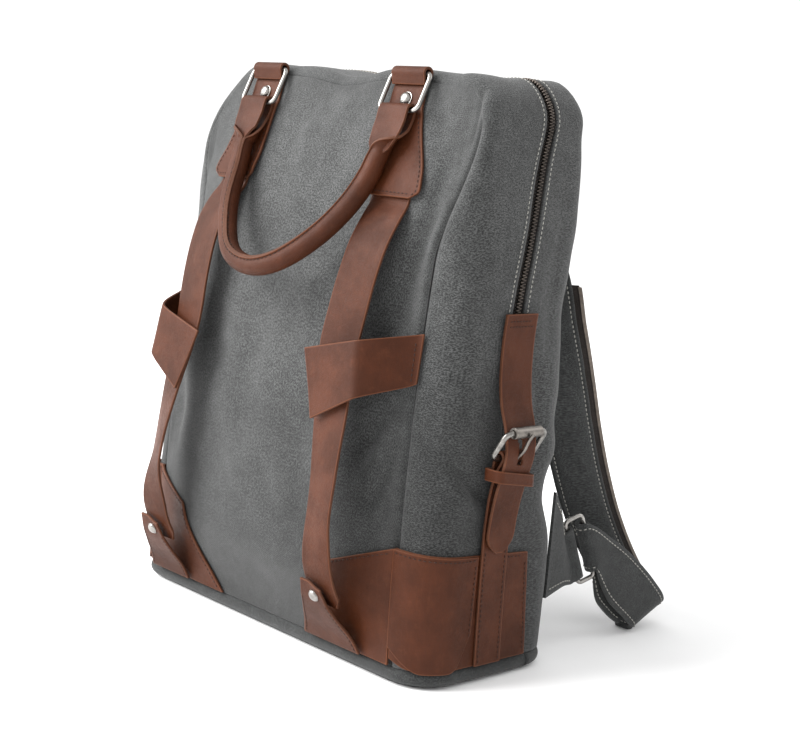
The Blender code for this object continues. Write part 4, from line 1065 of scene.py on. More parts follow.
def ring_patch_place(side):
    middle = side * RING_X
    bar = RING_TOP
    loop_radius = RING_WIRE + 0.0010 + LEATHER / 2
    face_top = front_at(middle, 0.402, 0.0026)
    route = [front_at(middle, mix(PATCH_BOTTOM, 0.392, step / 14), 0.0026) for step in range(15)]
    route.append(Vector((middle, mix(face_top.y, bar.y, 0.35) - 0.0005, 0.4035)))
    for step in range(9):
        angle = math.radians(mix(10, 205, step / 8))
        route.append(Vector((middle, bar.y, bar.z)) + round_x(loop_radius, angle))
    route.append(Vector((middle, bar.y - loop_radius + 0.0014, bar.z - 0.0080)))
    path = Path(route)
    flat_share = 0.064 / 0.105

    def place(a, b):
        spot = path.at(b)
        lean = side * 0.011 * (1.0 - ease(PATCH_BOTTOM, 0.400, spot.z))
        reach = (a - 0.5) * 2.0 * patch_edge(spot.z)
        lift = mix(0.0054, 0.0030, ease(PATCH_BOTTOM + 0.006, PATCH_BOTTOM + 0.026, spot.z))
        lying = front_at(middle + reach + lean, spot.z, lift)
        return lying.lerp(spot + Vector((reach, 0.0, 0.0)), ease(flat_share - 0.08, flat_share, b))

    return place


def stud_place(side):
    spot = front_at(side * RING_X, STUD_Z)
    outward = front_at(side * RING_X, STUD_Z, 0.01) - spot
    return frame_at(spot + outward.normalized() * 0.0030, outward)


def dome(radius, height, base):
    """A stud's profile: its dome, its rim and its foot."""
    turns = [math.pi / 2 * step / 9 for step in range(10)]
    found = [(radius * 0.92 * math.sin(turn), base + height * math.cos(turn)) for turn in turns]
    return found + [(radius, base - 0.0001), (radius, base - 0.0005), (0.0013, base - 0.0005), (0.0013, -0.0012),
                    (0.0, -0.0012)]


def make_ring_patches():
    rows = Stitches("patch_stitches", BROWN_THREAD, "ring_patch_right", THIN_THREAD)
    for side, word in SIDES:
        place = ring_patch_place(side)
        own(hide_sheet("patch_leather_" + word, place, 24, 120), "ring_patch_" + word)
        for hand in (0, 1):
            def edge_row(t, h=hand):
                b = mix(0.020, 0.575, t)
                inset = 0.0026 / (2.0 * patch_edge(mix(PATCH_BOTTOM, 0.4035, b / 0.61)))
                return (abs(h - inset), b)

            rows.on(place, edge_row)
        rows.row(place, (0.10, 0.90), 0.028)
        rows.row(place, (0.12, 0.88), 0.612, pitch=0.0032, length=0.0022)
        profile = dome(STUD_RADIUS, 0.0031, LEATHER / 2 + 0.0007)
        own(turned("stud_" + word, NICKEL_LOOK, profile, stud_place(side)), "patch_stud_" + word)
    rows.finish()


def wire_frame(name, look, low, top, across, half_across, corner, wire, count=10):
    """A rounded rectangle of wire, its two bars through low and top and running along across."""
    up = (top - low).normalized()
    middle = (low + top) / 2
    outline = rounded_box(half_across, (top - low).length / 2, corner, count)
    return tube(name, look, [middle + across * a + up * b for a, b in outline], wire, True, 8)


def make_rings():
    for side, word in SIDES:
        aside = Vector((side * RING_X, 0.0, 0.0))
        ring = wire_frame("ring_" + word, NICKEL_LOOK, RING_LOW + aside, RING_TOP + aside, Vector((1.0, 0.0, 0.0)),
                          RING_INSIDE / 2 + RING_WIRE, RING_CORNER, RING_WIRE, 12)
        own(ring, "handle_ring_" + word)


# Half of the handle, from its lowest point out to the right ring, over the ring's lower bar and down again:
# the middle of its leather strip, the way its edges curl, how far they curl, and the strip's width.
ROLL = 0.0062
ROLL_WIDTH = 0.0420
HANDLE_HALF = [
    ((0.0, -0.0975, 0.2730), (0.0, -0.62, 0.78), 1.0, ROLL_WIDTH, ROLL),
    ((0.027, -0.0945, 0.2790), (-0.22, -0.64, 0.73), 1.0, ROLL_WIDTH, ROLL),
    ((0.052, -0.0815, 0.2980), (-0.52, -0.66, 0.54), 1.0, ROLL_WIDTH, ROLL),
    ((0.068, -0.0680, 0.3200), (-0.68, -0.70, 0.20), 1.0, ROLL_WIDTH, ROLL),
    ((0.0750, -0.0575, 0.3400), (-0.66, -0.75, 0.05), 1.0, ROLL_WIDTH, ROLL),
    ((0.0768, -0.0535, 0.3510), (-0.62, -0.78, 0.05), 1.0, 0.0410, ROLL),
    ((0.0777, -0.0508, 0.3582), (-0.56, -0.82, 0.08), 0.97, 0.0385, ROLL),
    ((0.0790, -0.0466, 0.3640), (-0.28, -0.93, 0.15), 0.58, 0.0340, 0.0040),
    ((0.0797, -0.0428, 0.3695), (-0.08, -0.97, 0.20), 0.22, 0.0305, 0.0016),
    ((0.0800, -0.0394, 0.3755), (0.0, -0.97, 0.20), 0.06, 0.0292, 0.0002),
    ((0.0800, -0.0364, 0.3828), (0.0, -0.98, 0.15), 0.02, 0.0290, 0.0),
    ((0.0800, -0.0354, 0.3895), (0.0, -1.0, 0.0), 0.01, 0.0290, 0.0),
    ((0.0800, -0.0365, 0.3918), (0.0, -0.7, -0.7), 0.01, 0.0290, 0.0),
    ((0.0800, -0.0392, 0.3929), (0.0, 0.0, -1.0), 0.01, 0.0290, 0.0),
    ((0.0800, -0.0419, 0.3918), (0.0, 0.7, -0.7), 0.01, 0.0290, 0.0),
    ((0.0800, -0.0431, 0.3890), (0.0, 1.0, 0.0), 0.01, 0.0290, 0.0),
    ((0.0800, -0.0450, 0.3820), (0.0, 0.97, -0.2), 0.01, 0.0288, 0.0),
    ((0.0798, -0.0476, 0.3755), (0.0, 0.95, -0.3), 0.01, 0.0280, 0.0),
    ((0.0791, -0.0503, 0.3690), (0.0, 0.95, -0.3), 0.01, 0.0250, 0.0),
    ((0.0782, -0.0528, 0.3630), (-0.2, 0.95, -0.3), 0.01, 0.0170, 0.0),
    ((0.0775, -0.0543, 0.3585), (-0.3, 0.95, -0.3), 0.01, 0.0085, 0.0),
]


def handle_path():
    spots, ways, shapes = [], [], []
    rows = [(centre, way, curl, width, back, -1) for centre, way, curl, width, back in reversed(HANDLE_HALF)]
    rows += [(centre, way, curl, width, back, 1) for centre, way, curl, width, back in HANDLE_HALF[1:]]
    for centre, way, curl, width, back, side in rows:
        way = Vector(way).normalized()
        spot = Vector(centre) - way * back
        spots.append((side * spot.x, spot.y, spot.z))
        ways.append((side * way.x, way.y, way.z))
        shapes.append((curl, width, 0.0))
    return Path(spots, ways), Path(spots, shapes)


HANDLE_PATH, HANDLE_SHAPE = handle_path()
FIN = 0.0022
HANDLE_LEATHER = 0.0019


def handle_at(a, b):
    """The handle's leather strip: rolled with its edges standing up as a fin, flat at its ends."""
    middle = HANDLE_PATH.at(b)
    curl, width = HANDLE_SHAPE.value(b)[:2]
    ahead = HANDLE_PATH.way(b)
    way = HANDLE_PATH.value(b)
    way = (way - ahead * way.dot(ahead)).normalized()
    across = ahead.cross(way)
    closing = ease(0.70, 0.98, curl)
    fin = FIN * closing
    reach = (a - 0.5) * width
    hand = 1.0 if reach >= 0.0 else -1.0
    half = width / 2 - fin
    turn_end = max(math.pi * 0.968 * curl, 0.004)
    radius = half / turn_end
    turn = min(abs(reach) / radius, turn_end)
    spot = middle + way * radius * (1.0 - math.cos(turn)) + across * hand * radius * math.sin(turn)
    over = max(abs(reach) - half, 0.0)
    return spot + way * over


def make_handle():
    handle = hide_sheet("handle_leather", handle_at, 44, 320, HANDLE_LEATHER)
    own(handle, "handle", "handle_end_right", "handle_end_left")
    rows = Stitches("handle_stitches", BROWN_THREAD, "handle", pitch=0.0040, length=0.0027)
    inset = (FIN + 0.0012) / ROLL_WIDTH
    for a in (inset, 1.0 - inset):
        rows.row(handle_at, a, (0.225, 0.775), HANDLE_LEATHER / 2, samples=500)
    rows.finish()


STRAP_ROUTE = [(0.0890, front_at(0.089, 0.339, 0.0024).y, 0.3390),
               (0.0905, front_at(0.0905, 0.326, 0.0028).y, 0.3260),
               (0.0920, -0.0580, 0.3150), (0.0925, -0.0700, 0.2950), (0.0910, -0.0805, 0.2600),
               (0.0890, -0.0875, 0.2200), (0.0935, -0.0940, 0.1800), (0.0975, -0.1005, 0.1400),
               (0.0997, -0.1048, 0.1000), (0.0998, -0.1030, 0.0790), (0.1000, -0.0975, 0.0630),
               (0.1000, -0.0885, 0.0480)]
STRAP_TWIST = {1: (6.0, -12.0), -1: (-6.0, -26.0)}
STRAP_PATH = Path(STRAP_ROUTE)
TAB_ROUTE = [(-0.0716, 0.0140), (-0.0775, 0.0250), (-0.0895, 0.0400), (-0.0990, 0.0540), (-0.1030, 0.0660)]
TAB_PATH = Path([(0.0, y, z) for y, z in TAB_ROUTE])
TAB_FOOT = {1: (0.0530, 0.1170), -1: (-0.1440, -0.0920)}
TAB_RIVET = 0.84


def make_front_straps():
    for side, word in SIDES:
        start, end = STRAP_TWIST[side]

        def place(a, b, sign=side, first=start, last=end):
            spot = STRAP_PATH.at(b)
            turn = math.radians(mix(first, last, ease(0.36, 0.75, b)) * (1.0 - ease(0.76, 0.90, b)))
            width = mix(FRONT_STRAP, 0.030, ease(0.5, 0.9, b)) * mix(1.0, 0.6, ease(0.965, 1.0, b))
            way = Vector((math.cos(turn), math.sin(turn), 0.0))
            cup = 0.0007 * (2.0 * a - 1.0) ** 2 + 0.0005 * noise.noise(Vector((a * 1.6, b * 9.0, sign * 3.0)))
            cup *= ease(0.10, 0.22, b) * (1.0 - ease(0.86, 0.96, b))
            return Vector((sign * spot.x, spot.y + cup, spot.z)) + way * (a - 0.5) * width

        own(hide_sheet("strap_leather_" + word, place, 16, 150), "front_strap_" + word)


def tab_at(side, a, b):
    spot = TAB_PATH.at(b)
    left = mix(TAB_FOOT[side][0], side * 0.1000 - 0.0160, ease(-0.2, 1.0, b))
    right = mix(TAB_FOOT[side][1], side * 0.1000 + 0.0060, ease(-0.3, 0.95, b))
    slope_down = 0.0040 * ease(0.80, 1.0, b) * ease(0.3, 1.0, a)
    return Vector((mix(left, right, a), spot.y, spot.z - slope_down))


def rivet_place(side):
    spot = tab_at(side, 0.62, TAB_RIVET)
    up = tab_at(side, 0.62, TAB_RIVET + 0.02) - tab_at(side, 0.62, TAB_RIVET - 0.02)
    outward = Vector((1.0, 0.0, 0.0)).cross(Vector((0.0, up.y, up.z)))
    if outward.y > 0.0:
        outward.negate()
    return frame_at(spot, outward)


def make_tabs():
    rows = Stitches("tab_stitches", BROWN_THREAD, "strap_tab_right", THIN_THREAD)
    for side, word in SIDES:
        def place(a, b, s=side):
            return tab_at(s, a, b)

        own(hide_sheet("tab_leather_" + word, place, 30, 40), "strap_tab_" + word)
        profile = dome(RIVET_RADIUS, 0.0022, LEATHER / 2 + 0.0005)
        own(turned("rivet_" + word, NICKEL_LOOK, profile, rivet_place(side)), "tab_rivet_" + word)
        for edge in (0.05, 0.95):
            rows.row(place, edge, (0.03, 0.78))
    rows.finish()


def make_wings():
    rows = Stitches("wing_stitches", BROWN_THREAD, "strap_wing_right", THIN_THREAD)
    for side, word in SIDES:
        def place(a, b, sign=side):
            foot = Vector((mix(0.1405, 0.0800, a), 0.0, mix(0.2080, 0.1765, a)))
            head = Vector((mix(0.1405, 0.0625, a), 0.0, mix(0.2420, 0.2230, a)))
            spot = foot.lerp(head, b)
            spot.z -= 0.0060 * ease(0.0, 0.5, a) if sign < 0 else 0.0
            strap = STRAP_PATH.at((0.336 - spot.z) / 0.300)
            root = front_at(0.1405, spot.z, 0.0030).y
            face = strap.y - mix(0.0066, 0.0084, ease(0.190, 0.230, spot.z)) - (0.0014 if sign < 0 else 0.0)
            return Vector((sign * spot.x, mix(root, face, ease(0.0, 0.38, a)), spot.z))

        own(hide_sheet("wing_leather_" + word, place, 50, 26), "strap_wing_" + word)
        rows.row(place, 0.06, (0.08, 0.92), pitch=0.0034)
    rows.finish()


def make_corner_patches():
    rows = Stitches("corner_stitches", BROWN_THREAD, "corner_patch_right")
    for side, word in SIDES:
        def place(a, b, sign=side):
            z = mix(PANEL_BOTTOM + 0.0006, mix(0.0775, 0.0960, a), b)
            inner = 0.050 + 0.039 * b ** 0.8
            seam = half_width(z) - front_radius(z) + 0.0002
            return front_at(sign * mix(inner, seam, a), z, 0.0030)

        own(hide_sheet("corner_leather_" + word, place, 44, 40, LEATHER, True), "corner_patch_" + word)
        rows.row(place, (0.05, 0.97), 0.965, loose=True)
        rows.row(place, 0.040, (0.04, 0.96), loose=True)
    rows.finish()


# ---------------------------------------------------------------- leather and buckles on the sides

FLAP = 0.0016
FLAP_FACE = 0.0009


def side_leather_place(side):
    def place(a, b):
        back_edge = math.pi / 2 * FRONT_CORNER + mix(0.0695, 0.0660, b)
        reach = mix(0.0004, back_edge, a)
        corner = 0.006 * (1.0 - ease(-0.004, 0.016, reach))
        z = mix(PANEL_BOTTOM + 0.0006 + corner, mix(0.0960, 0.0885, a), b)
        return wrap_at(side, reach, z, 0.0024)
    return place


def side_flap_place(side):
    """The upper layer of the side's leather: its lower corners are round."""
    def place(a, b):
        low = PANEL_BOTTOM - 0.0010 + 0.020 * (1.0 - ease(-0.012, 0.026, a * 0.064))
        low += 0.026 * ease(0.040, 0.066, a * 0.064) ** 2
        z = mix(low, 0.0958 - 0.0046 * a, b)
        reach = mix(0.0002, 0.0612 - 0.0030 * (1.0 - b), a)
        return wrap_at(side, reach, z, 0.0042)
    return place


def make_side_leathers():
    rows = Stitches("side_stitches", BROWN_THREAD, "side_leather_right")
    for side, word in SIDES:
        place, flap = side_leather_place(side), side_flap_place(side)
        own(hide_sheet("side_hide_" + word, place, 60, 40, LEATHER, True), "side_leather_" + word)
        extra(hide_sheet("side_flap_" + word, flap, 50, 40, FLAP, True), "side_leather_" + word)
        rows.row(flap, (0.02, 0.97), 0.965, FLAP_FACE, True)
        rows.row(flap, 0.960, (0.03, 0.96), FLAP_FACE, True)
        rows.row(place, (0.68, 0.97), 0.965, loose=True)
        rows.row(place, 0.975, (0.05, 0.95), loose=True)
    rows.finish()


LOWER_BAR = (0.0115, 0.1610)
ROLLER_BAR = (0.0228, 0.1800)
SIDE_STRAP_ROUTE = [(0.0042, 0.2575), (0.0040, 0.2480), (0.0044, 0.2330), (0.0064, 0.2130), (0.0102, 0.1960),
                    (0.0152, 0.1840), (0.0178, 0.1760), (0.0190, 0.1680), (0.0188, 0.1600), (0.0170, 0.1520),
                    (0.0152, 0.1450), (0.0122, 0.1320), (0.0100, 0.1180), (0.0088, 0.1030), (0.0084, 0.0935)]
CHAPE_ROUTE = [(0.0048, 0.0134), (0.0048, 0.0500), (0.0048, 0.0900), (0.0050, 0.1150), (0.0072, 0.1380),
               (0.0106, 0.1510)]


def bar_at(side, bar):
    lift, z = bar
    return side_at(side, side_strap_y(z), z, lift)


def make_buckles():
    across = Vector((0.0, 1.0, 0.0))
    for side, word in SIDES:
        low, top = bar_at(side, LOWER_BAR), bar_at(side, ROLLER_BAR)
        up = (top - low).normalized()
        buckle = wire_frame("frame_" + word, BUCKLE_LOOK, low, top, across, SIDE_STRAP / 2 + 0.0022 + BUCKLE_WIRE,
                            BUCKLE_CORNER, BUCKLE_WIRE)
        own(buckle, "buckle_frame_" + word)
        half, inner = SIDE_STRAP / 2 - 0.0020, BUCKLE_WIRE + 0.0004
        profile = [(inner, half), (ROLLER_RADIUS - 0.0004, half), (ROLLER_RADIUS, half - 0.0004),
                   (ROLLER_RADIUS, 0.0004 - half), (ROLLER_RADIUS - 0.0004, -half), (inner, -half), (inner, half)]
        own(turned("roller_" + word, GUN_LOOK, profile, frame_at(top, across, up)), "buckle_roller_" + word)
        outward = Vector((side, 0.0, 0.0))
        outward = (outward - up * outward.dot(up)).normalized()
        near, far = BUCKLE_WIRE + 0.0017, ROLLER_RADIUS + 0.0017
        hook = [low - up * near + outward * 0.0004,
                low - up * near * 0.6 + outward * near * 0.85,
                low + up * 0.0020 + outward * (near + 0.0006),
                mix(low, top, 0.5) + outward * 0.0062,
                top + outward * far * 0.95 - up * 0.0030,
                top + outward * (far + 0.0002) + up * 0.0028]
        curve = Path(hook)
        path = [curve.at(step / 40) for step in range(41)]
        own(tube("prong_" + word, GUN_LOOK, path, PRONG_WIRE), "buckle_prong_" + word)


def side_band(side, route, width_at):
    """A strap on a side: route gives distance outside the gusset and height down its middle."""
    path = Path([(lift, 0.0, z) for lift, z in route])

    def place(a, b):
        spot = path.at(b)
        return side_at(side, side_strap_y(spot.z) + (a - 0.5) * width_at(b), spot.z, spot.x)

    return place


def without(obj, hole):
    """Takes the faces whose middles are inside the hole, a test of a point, out of a sheet."""
    with edited(obj.data) as mesh:
        gone = [face for face in mesh.faces if hole(face.calc_center_median())]
        bmesh.ops.delete(mesh, geom=gone, context="FACES")


def make_side_straps():
    rows = Stitches("side_strap_stitches", BROWN_THREAD, "side_strap_right")
    for side, word in SIDES:
        def width_at(b):
            tip = math.sqrt(max(1.0 - ease(0.90, 1.01, b) ** 2, 0.02))
            return mix(SIDE_STRAP, 0.0255, ease(0.2, 0.9, b)) * tip

        place = side_band(side, SIDE_STRAP_ROUTE, width_at)
        strap = hide_sheet("side_strap_hide_" + word, place, 24, 220)
        without(strap, lambda p: 0.1560 < p.z < 0.1752 and abs(p.y - side_strap_y(0.166)) < 0.0024)
        own(strap, "side_strap_" + word)
        for b in (0.030, 0.052):
            rows.row(place, (0.10, 0.90), b, pitch=0.0030, length=0.0022)

        loop = BUCKLE_WIRE + 0.0009 + LEATHER / 2
        bar_lift, bar_z = LOWER_BAR
        turn_route = list(CHAPE_ROUTE)
        for step in range(9):
            angle = math.radians(mix(-30, 190, step / 8))
            turn_route.append((bar_lift + loop * math.cos(angle), bar_z + loop * math.sin(angle)))
        turn_route.append((0.0062, 0.1500))
        chape_place = side_band(side, turn_route, lambda b: 0.0250)
        chape = hide_sheet("chape_hide_" + word, chape_place, 24, 240)
        without(chape, lambda p: p.z > 0.1535 and abs(p.y - side_strap_y(0.161)) < 0.0029)
        own(chape, "side_chape_" + word)
        for edge in (0.11, 0.89):
            rows.row(chape_place, edge, (0.01, 0.47), length=0.0025)
    rows.finish()


KEEPER_Z = 0.1470
KEEPER_WIDTH = 0.0085
KEEPER_TILT = 0.16
KEEPER_LIFT = 0.0118


def make_keepers():
    ring = rounded_box(SIDE_STRAP / 2 + 0.0030, 0.0078, 0.0050, 10)
    ring.append(ring[0])
    for side, word in SIDES:
        def place(a, b, sign=side):
            spot = a * (len(ring) - 1)
            i = min(int(spot), len(ring) - 2)
            y, lift = Vector(ring[i]).lerp(Vector(ring[i + 1]), spot - i)
            z = KEEPER_Z + (b - 0.5) * KEEPER_WIDTH - KEEPER_TILT * y
            return side_at(sign, side_strap_y(KEEPER_Z) + y, z, KEEPER_LIFT + lift)

        keeper = sheet("keeper_hide_" + word, LEATHER_LOOK, place, len(ring) - 1, 8, 0.0016, False, 0.0004, True,
                       RAW_LOOK)
        own(keeper, "strap_keeper_" + word)


# ---------------------------------------------------------------- shoulder straps

SHOULDER_ROUTE = [((0.040, 0.0797, 0.3900), (1.00, 0.00)), ((0.040, 0.0799, 0.3780), (1.00, 0.00)),
                  ((0.041, 0.0803, 0.3670), (1.00, 0.00)), ((0.047, 0.0930, 0.3460), (1.00, 0.12)),
                  ((0.060, 0.1060, 0.3200), (0.94, 0.34)), ((0.084, 0.1130, 0.2800), (0.75, 0.66)),
                  ((0.100, 0.1120, 0.2400), (0.52, 0.85)), ((0.107, 0.1210, 0.2000), (0.38, 0.92)),
                  ((0.109, 0.1330, 0.1600), (0.33, 0.94)), ((0.111, 0.1470, 0.1200), (0.32, 0.95)),
                  ((0.115, 0.1640, 0.0800), (0.30, 0.95)), ((0.124, 0.1840, 0.0420), (0.22, 0.97)),
                  ((0.136, 0.1980, 0.0180), (0.10, 0.99))]
LOOP_ROUTE = [((0.1400, 0.1960, 0.0085), (0.10, 0.94, 0.33)), ((0.1520, 0.1945, 0.0105), (0.05, 0.91, 0.42)),
              ((0.1575, 0.1900, 0.0155), (0.0, 0.88, 0.47)), ((0.1580, 0.1780, 0.0270), (0.0, 0.80, 0.60)),
              ((0.1570, 0.1580, 0.0440), (0.0, 0.55, 0.83)), ((0.1555, 0.1400, 0.0590), (0.0, 0.10, 0.99))]
LOOP_TAIL = [((0.1480, 0.1400, 0.0520), (0.0, 0.10, 0.99)), ((0.1490, 0.1560, 0.0390), (0.0, 0.50, 0.86)),
             ((0.1500, 0.1680, 0.0290), (0.0, 0.66, 0.75)), ((0.1515, 0.1790, 0.0205), (0.0, 0.80, 0.60))]
ADJUSTER_LENGTH = 0.0544
ADJUSTER_DEPTH = 0.0150
ADJUSTER_WIRE = 0.0018
LOOP_WIDTH = 0.0410
RING_A = Vector((0.1475, 0.1235, 0.0525))
RING_B = Vector((0.1475, 0.1060, 0.0935))
ANCHOR_FOOT = ((0.1560, 0.0695, 0.0440), (0.1545, 0.0735, 0.1230))
HALF_ZIP_TEETH = 210
SHOULDER_PATH = Path([spot for spot, way in SHOULDER_ROUTE], [(x, y, 0.0) for spot, (x, y) in SHOULDER_ROUTE])


def side_vector(side, point):
    return Vector((side * point[0], point[1], point[2]))


def shoulder_at(side, b, reach, lift=0.0):
    """A point of a shoulder strap at b down its length, reach across it and lift off its middle."""
    way = SHOULDER_PATH.value(b).normalized()
    normal = way.cross(SHOULDER_PATH.way(b)).normalized()
    point = SHOULDER_PATH.at(b) + way * reach + normal * lift
    return Vector((side * point.x, point.y, point.z))


def pad_half(reach, far):
    """Half the padded strap's thickness: full in the middle, pressed in along its two seams."""
    half = SHOULDER_STRAP / 2
    seam = math.exp(-((abs(reach) - (half - 0.0042)) / 0.0014) ** 2)
    pucker = 0.00018 * math.sin(far * 2.0 * math.pi / 0.0038)
    rolled = math.sqrt(max(1.0 - (reach / half) ** 10, 0.0))
    crown = 0.0019 + 0.0006 * max(1.0 - (reach / (half * 0.72)) ** 2, 0.0)
    return (crown - seam * (0.0009 + pucker)) * rolled


def make_shoulder_straps():
    """Padded straps with a stitched seam along each edge, and a half zip on the outer edge."""
    half = SHOULDER_STRAP / 2
    length = SHOULDER_PATH.reaches[-1]
    rows = Stitches("shoulder_stitches", WHITE_THREAD, "shoulder_strap_right", THICK_THREAD, 0.0038, 0.0027)
    teeth = Teeth(HALF_ZIP_TOOTH)
    for side, word in SIDES:
        def place(a, b, s=side):
            turn = 2.0 * math.pi * a
            reach = half * math.copysign(abs(math.cos(turn)) ** 0.55, math.cos(turn))
            far = b * length
            ripple = 0.0006 * noise.noise(Vector((reach * 50.0, far * 40.0, s * 5.0)))
            return shoulder_at(s, b, reach, math.copysign(pad_half(reach, far), math.sin(turn)) + ripple)

        mesh = grid_mesh("shoulder_pad_" + word, place, 56, 260, True)
        with edited(mesh) as pad:
            bmesh.ops.holes_fill(pad, edges=pad.edges, sides=0)
            bmesh.ops.recalc_face_normals(pad, faces=pad.faces)
        strap = own(add_object("shoulder_pad_" + word, mesh, STRAP_LOOK), "shoulder_strap_" + word)
        for edge in (-1, 1):
            for face in (-1, 1):
                spots, normals = [], []
                for step in range(301):
                    b = mix(0.03, 0.985, step / 300)
                    reach = edge * (half - 0.0042)
                    spot = shoulder_at(side, b, reach, face * (pad_half(reach, b * length) + 0.0001))
                    spots.append(spot)
                    normals.append((spot - shoulder_at(side, b, reach, 0.0)).normalized())
                rows.along(spots, normals)

        def tape(a, b, s=side):
            return shoulder_at(s, mix(0.34, 0.965, b), half + mix(-0.0012, 0.0056, a))

        own(sheet("half_zip_" + word, TAPE_LOOK, tape, 5, 220, 0.0012, False, 0.0), "strap_zip_" + word)
        reach = half + 0.0060
        for step in range(HALF_ZIP_TEETH):
            b = mix(0.345, 0.960, step / (HALF_ZIP_TEETH - 1))
            spot = shoulder_at(side, b, reach)
            ahead = (shoulder_at(side, b + 0.004, reach) - shoulder_at(side, b - 0.004, reach)).normalized()
            out = (spot - shoulder_at(side, b, half)).normalized()
            teeth.add(spot, out, ahead.cross(out).normalized(), ahead)
    rows.finish()
    extra(teeth.finish("half_zip_teeth"), "strap_zip_right")


def ring_frame(side):
    """The adjuster ring's middle, its way along the bars and its way from bar to bar."""
    low, high = side_vector(side, RING_A), side_vector(side, RING_B)
    along = (high - low).normalized()
    over = Vector((side * 0.25, 1.0, 0.0))
    over = (over - along * over.dot(along)).normalized()
    return (low + high) / 2, along, over


def make_adjusters():
    for side, word in SIDES:
        middle, along, over = ring_frame(side)
        outline = rounded_box(ADJUSTER_LENGTH / 2, ADJUSTER_DEPTH / 2, 0.0036, 10)
        points = [middle + along * a + over * b for a, b in outline]
        own(tube("slide_ring_" + word, NICKEL_LOOK, points, ADJUSTER_WIRE, True, 8), "adjuster_ring_" + word)


def round_bar(bar, normal, over, reach, last, count):
    """Points round a bar from its normal, 90 degrees, to the last angle."""
    angles = [math.radians(mix(90, last, step / count)) for step in range(count + 1)]
    return [bar + (normal * math.sin(angle) + over * math.cos(angle)) * reach for angle in angles]


def make_strap_loops():
    """The lower band of each strap, wrapped round the ring's outer bar with its tail below."""
    rows = Stitches("loop_stitches", WHITE_THREAD, "strap_loop_right", THICK_THREAD, 0.0038, 0.0027)
    for side, word in SIDES:
        middle, along, over = ring_frame(side)
        outer = middle + over * ADJUSTER_DEPTH / 2
        normal = over.cross(along).normalized()
        if normal.x * side < 0.0:
            normal.negate()
        route = [(side_vector(side, spot), Vector(way)) for spot, way in LOOP_ROUTE]
        reach = ADJUSTER_WIRE + 0.0012 + 0.0017
        route += [(spot, along) for spot in round_bar(outer, normal, over, reach, 300, 6)]
        route += [(side_vector(side, spot), Vector(way)) for spot, way in LOOP_TAIL]

        def place(a, b, path=Path(*zip(*route))):
            return path.at(b) + path.value(b).normalized() * (a - 0.5) * LOOP_WIDTH

        own(sheet("loop_band_" + word, STRAP_LOOK, place, 20, 230, 0.0030, False, 0.0007), "strap_loop_" + word)
        for edge in (0.085, 0.915):
            for face in (0.0016, -0.0016):
                rows.row(place, edge, (0.01, 0.985), face, samples=320)
    rows.finish()


def make_anchor_tabs():
    """Canvas triangles from the back edge of the bag round the adjuster rings' inner bars."""
    rows = Stitches("anchor_stitches", WHITE_THREAD, "anchor_tab_right", THICK_THREAD, length=0.0026)
    for side, word in SIDES:
        middle, along, over = ring_frame(side)
        inner = middle - over * ADJUSTER_DEPTH / 2
        normal = over.cross(along).normalized()
        low, high = (side_vector(side, spot) for spot in ANCHOR_FOOT)
        foot_centre, foot_way = (low + high) / 2, (high - low) / 2
        half = along * 0.0210
        reach = ADJUSTER_WIRE + 0.0008 + 0.0013
        route = [(foot_centre, foot_way),
                 (mix(foot_centre, inner, 0.5) + normal * 0.001, mix(foot_way, half, 0.55)),
                 (inner - over * 0.006 + normal * reach, half)]
        route += [(spot, half) for spot in round_bar(inner, normal, over, reach, -120, 5)]

        def place(a, b, path=Path(*zip(*route))):
            return path.at(b) + path.value(b) * (2.0 * a - 1.0)

        own(sheet("anchor_cloth_" + word, STRAP_LOOK, place, 26, 90, 0.0024, False, 0.0005), "anchor_tab_" + word)
        for edge in (0.07, 0.93):
            for face in (0.0013, -0.0013):
                rows.row(place, edge, (0.05, 0.62), face)
    rows.finish()


def make_strap_patch():
    rows = Stitches("head_patch_stitches", BROWN_THREAD, "strap_head_patch")

    def place(a, b):
        z = mix(0.377, 0.405, b)
        x = mix(-0.078, 0.078, a)
        over_strap = ease(0.006, 0.015, abs(x)) * (1.0 - ease(0.065, 0.074, abs(x)))
        return Vector((x, back_y(z) + mix(0.0026, 0.0074, over_strap), z))

    own(hide_sheet("head_patch_hide", place, 110, 20), "strap_head_patch")
    for b in (0.10, 0.90):
        rows.row(place, (0.02, 0.98), b)
    for a in (0.018, 0.982):
        rows.row(place, a, (0.12, 0.88))
    rows.finish()


# ---------------------------------------------------------------- studio

FLOOR_COLOUR = (0.93, 0.93, 0.93)
WORLD_STRENGTH = 1.12
# Each lamp's name, place, size and power
LAMPS = (("key", (-1.70, -2.30, 2.10), 2.80, 310.0), ("rim", (1.10, 1.90, 1.60), 1.20, 9.0))


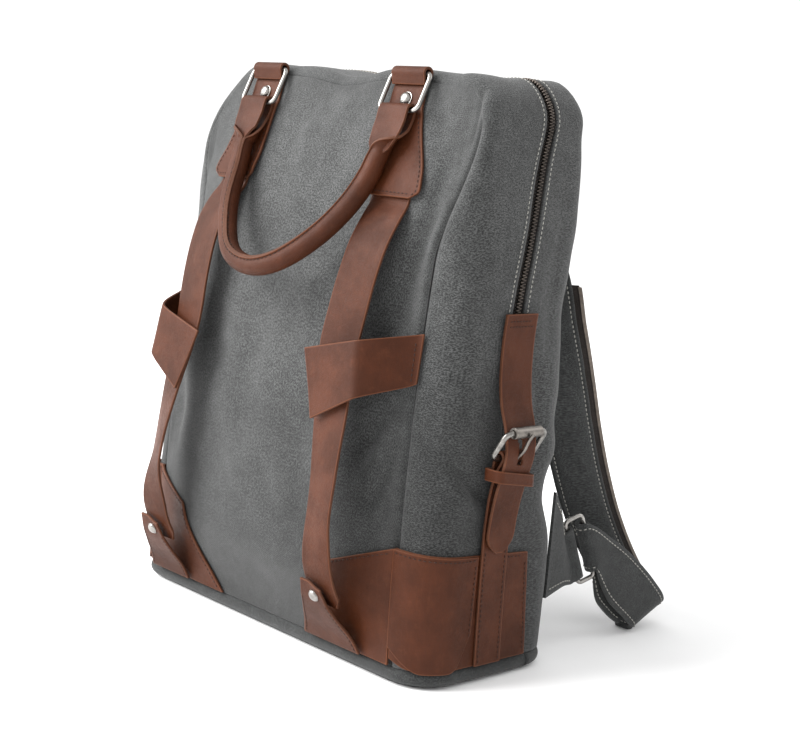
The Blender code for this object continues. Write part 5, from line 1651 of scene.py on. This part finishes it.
def make_studio():
    floor = bpy.data.meshes.new("floor")
    floor.from_pydata([(-9, -9, 0), (9, -9, 0), (9, 9, 0), (-9, 9, 0)], [], [(0, 1, 2, 3)])
    look, tree, shader, place, _ = new_look("pale_floor", (0.80, 0.80, 0.80), 0.85, Specular_IOR_Level=0.15)
    dust = span(tree, cloud(tree, place, 6.0, 4.0), 0.3, 0.7, 0.985, 1.015)
    colour = tint(tree, 1.0, FLOOR_COLOUR, grey_of(tree, dust), "MULTIPLY")
    tree.links.new(colour, shader.inputs["Base Color"])
    add_object("floor", floor, look)

    world = bpy.data.worlds.new("studio")
    world.use_nodes = True
    background = world.node_tree.nodes["Background"]
    background.inputs["Color"].default_value = (1.0, 1.0, 1.0, 1.0)
    background.inputs["Strength"].default_value = WORLD_STRENGTH
    bpy.context.scene.world = world
    bpy.context.scene.view_settings.view_transform = "Standard"

    for name, spot, size, power in LAMPS:
        lamp = bpy.data.lights.new(name, "AREA")
        lamp.shape = "SQUARE"
        lamp.size = size
        lamp.energy = power
        light = bpy.data.objects.new(name, lamp)
        bpy.context.scene.collection.objects.link(light)
        aim = Vector((0.0, 0.0, 0.20)) - Vector(spot)
        light.matrix_world = Matrix.Translation(spot) @ aim.to_track_quat("-Z", "Y").to_matrix().to_4x4()


SENSOR = 36.0
FOCAL_LENGTH = 1.9625  # in widths of the picture


def make_camera():
    azimuth, elevation, roll = math.radians(47.36), math.radians(8.64), math.radians(4.0)
    target, distance = Vector((0.0585, 0.0, 0.2038)), 1.1522
    back = Vector((math.sin(azimuth) * math.cos(elevation), -math.cos(azimuth) * math.cos(elevation),
                   math.sin(elevation)))
    level = Vector((math.cos(azimuth), math.sin(azimuth), 0.0))
    upright = level.cross(-back)
    right = level * math.cos(roll) + upright * math.sin(roll)
    up = upright * math.cos(roll) - level * math.sin(roll)
    data = bpy.data.cameras.new("camera")
    data.sensor_width = SENSOR
    data.lens = SENSOR * FOCAL_LENGTH
    data.clip_end = 60.0
    camera = bpy.data.objects.new("camera", data)
    turned_to = Matrix((right, up, back)).transposed().to_4x4()
    camera.matrix_world = Matrix.Translation(target + back * distance) @ turned_to
    bpy.context.scene.collection.objects.link(camera)
    bpy.context.scene.camera = camera


def finish_metal_nodes():
    """The zip's slider and pull keep their CAD shape and take the gunmetal finish."""
    for name in ("zip_slider", "zip_pull"):
        obj = frame["nodes"][name]
        for slot in obj.material_slots:
            slot.link = "OBJECT"
            slot.material = GUN_LOOK


for make in (
    make_camera, make_studio, make_panels, make_gussets, make_base, make_inside, make_zip, make_ring_patches,
    make_rings, make_handle, make_front_straps, make_tabs, make_wings, make_corner_patches,
    make_side_leathers, make_buckles, make_side_straps, make_keepers, make_shoulder_straps, make_adjusters,
    make_strap_loops, make_anchor_tabs, make_strap_patch,
):
    make()
finish_metal_nodes()
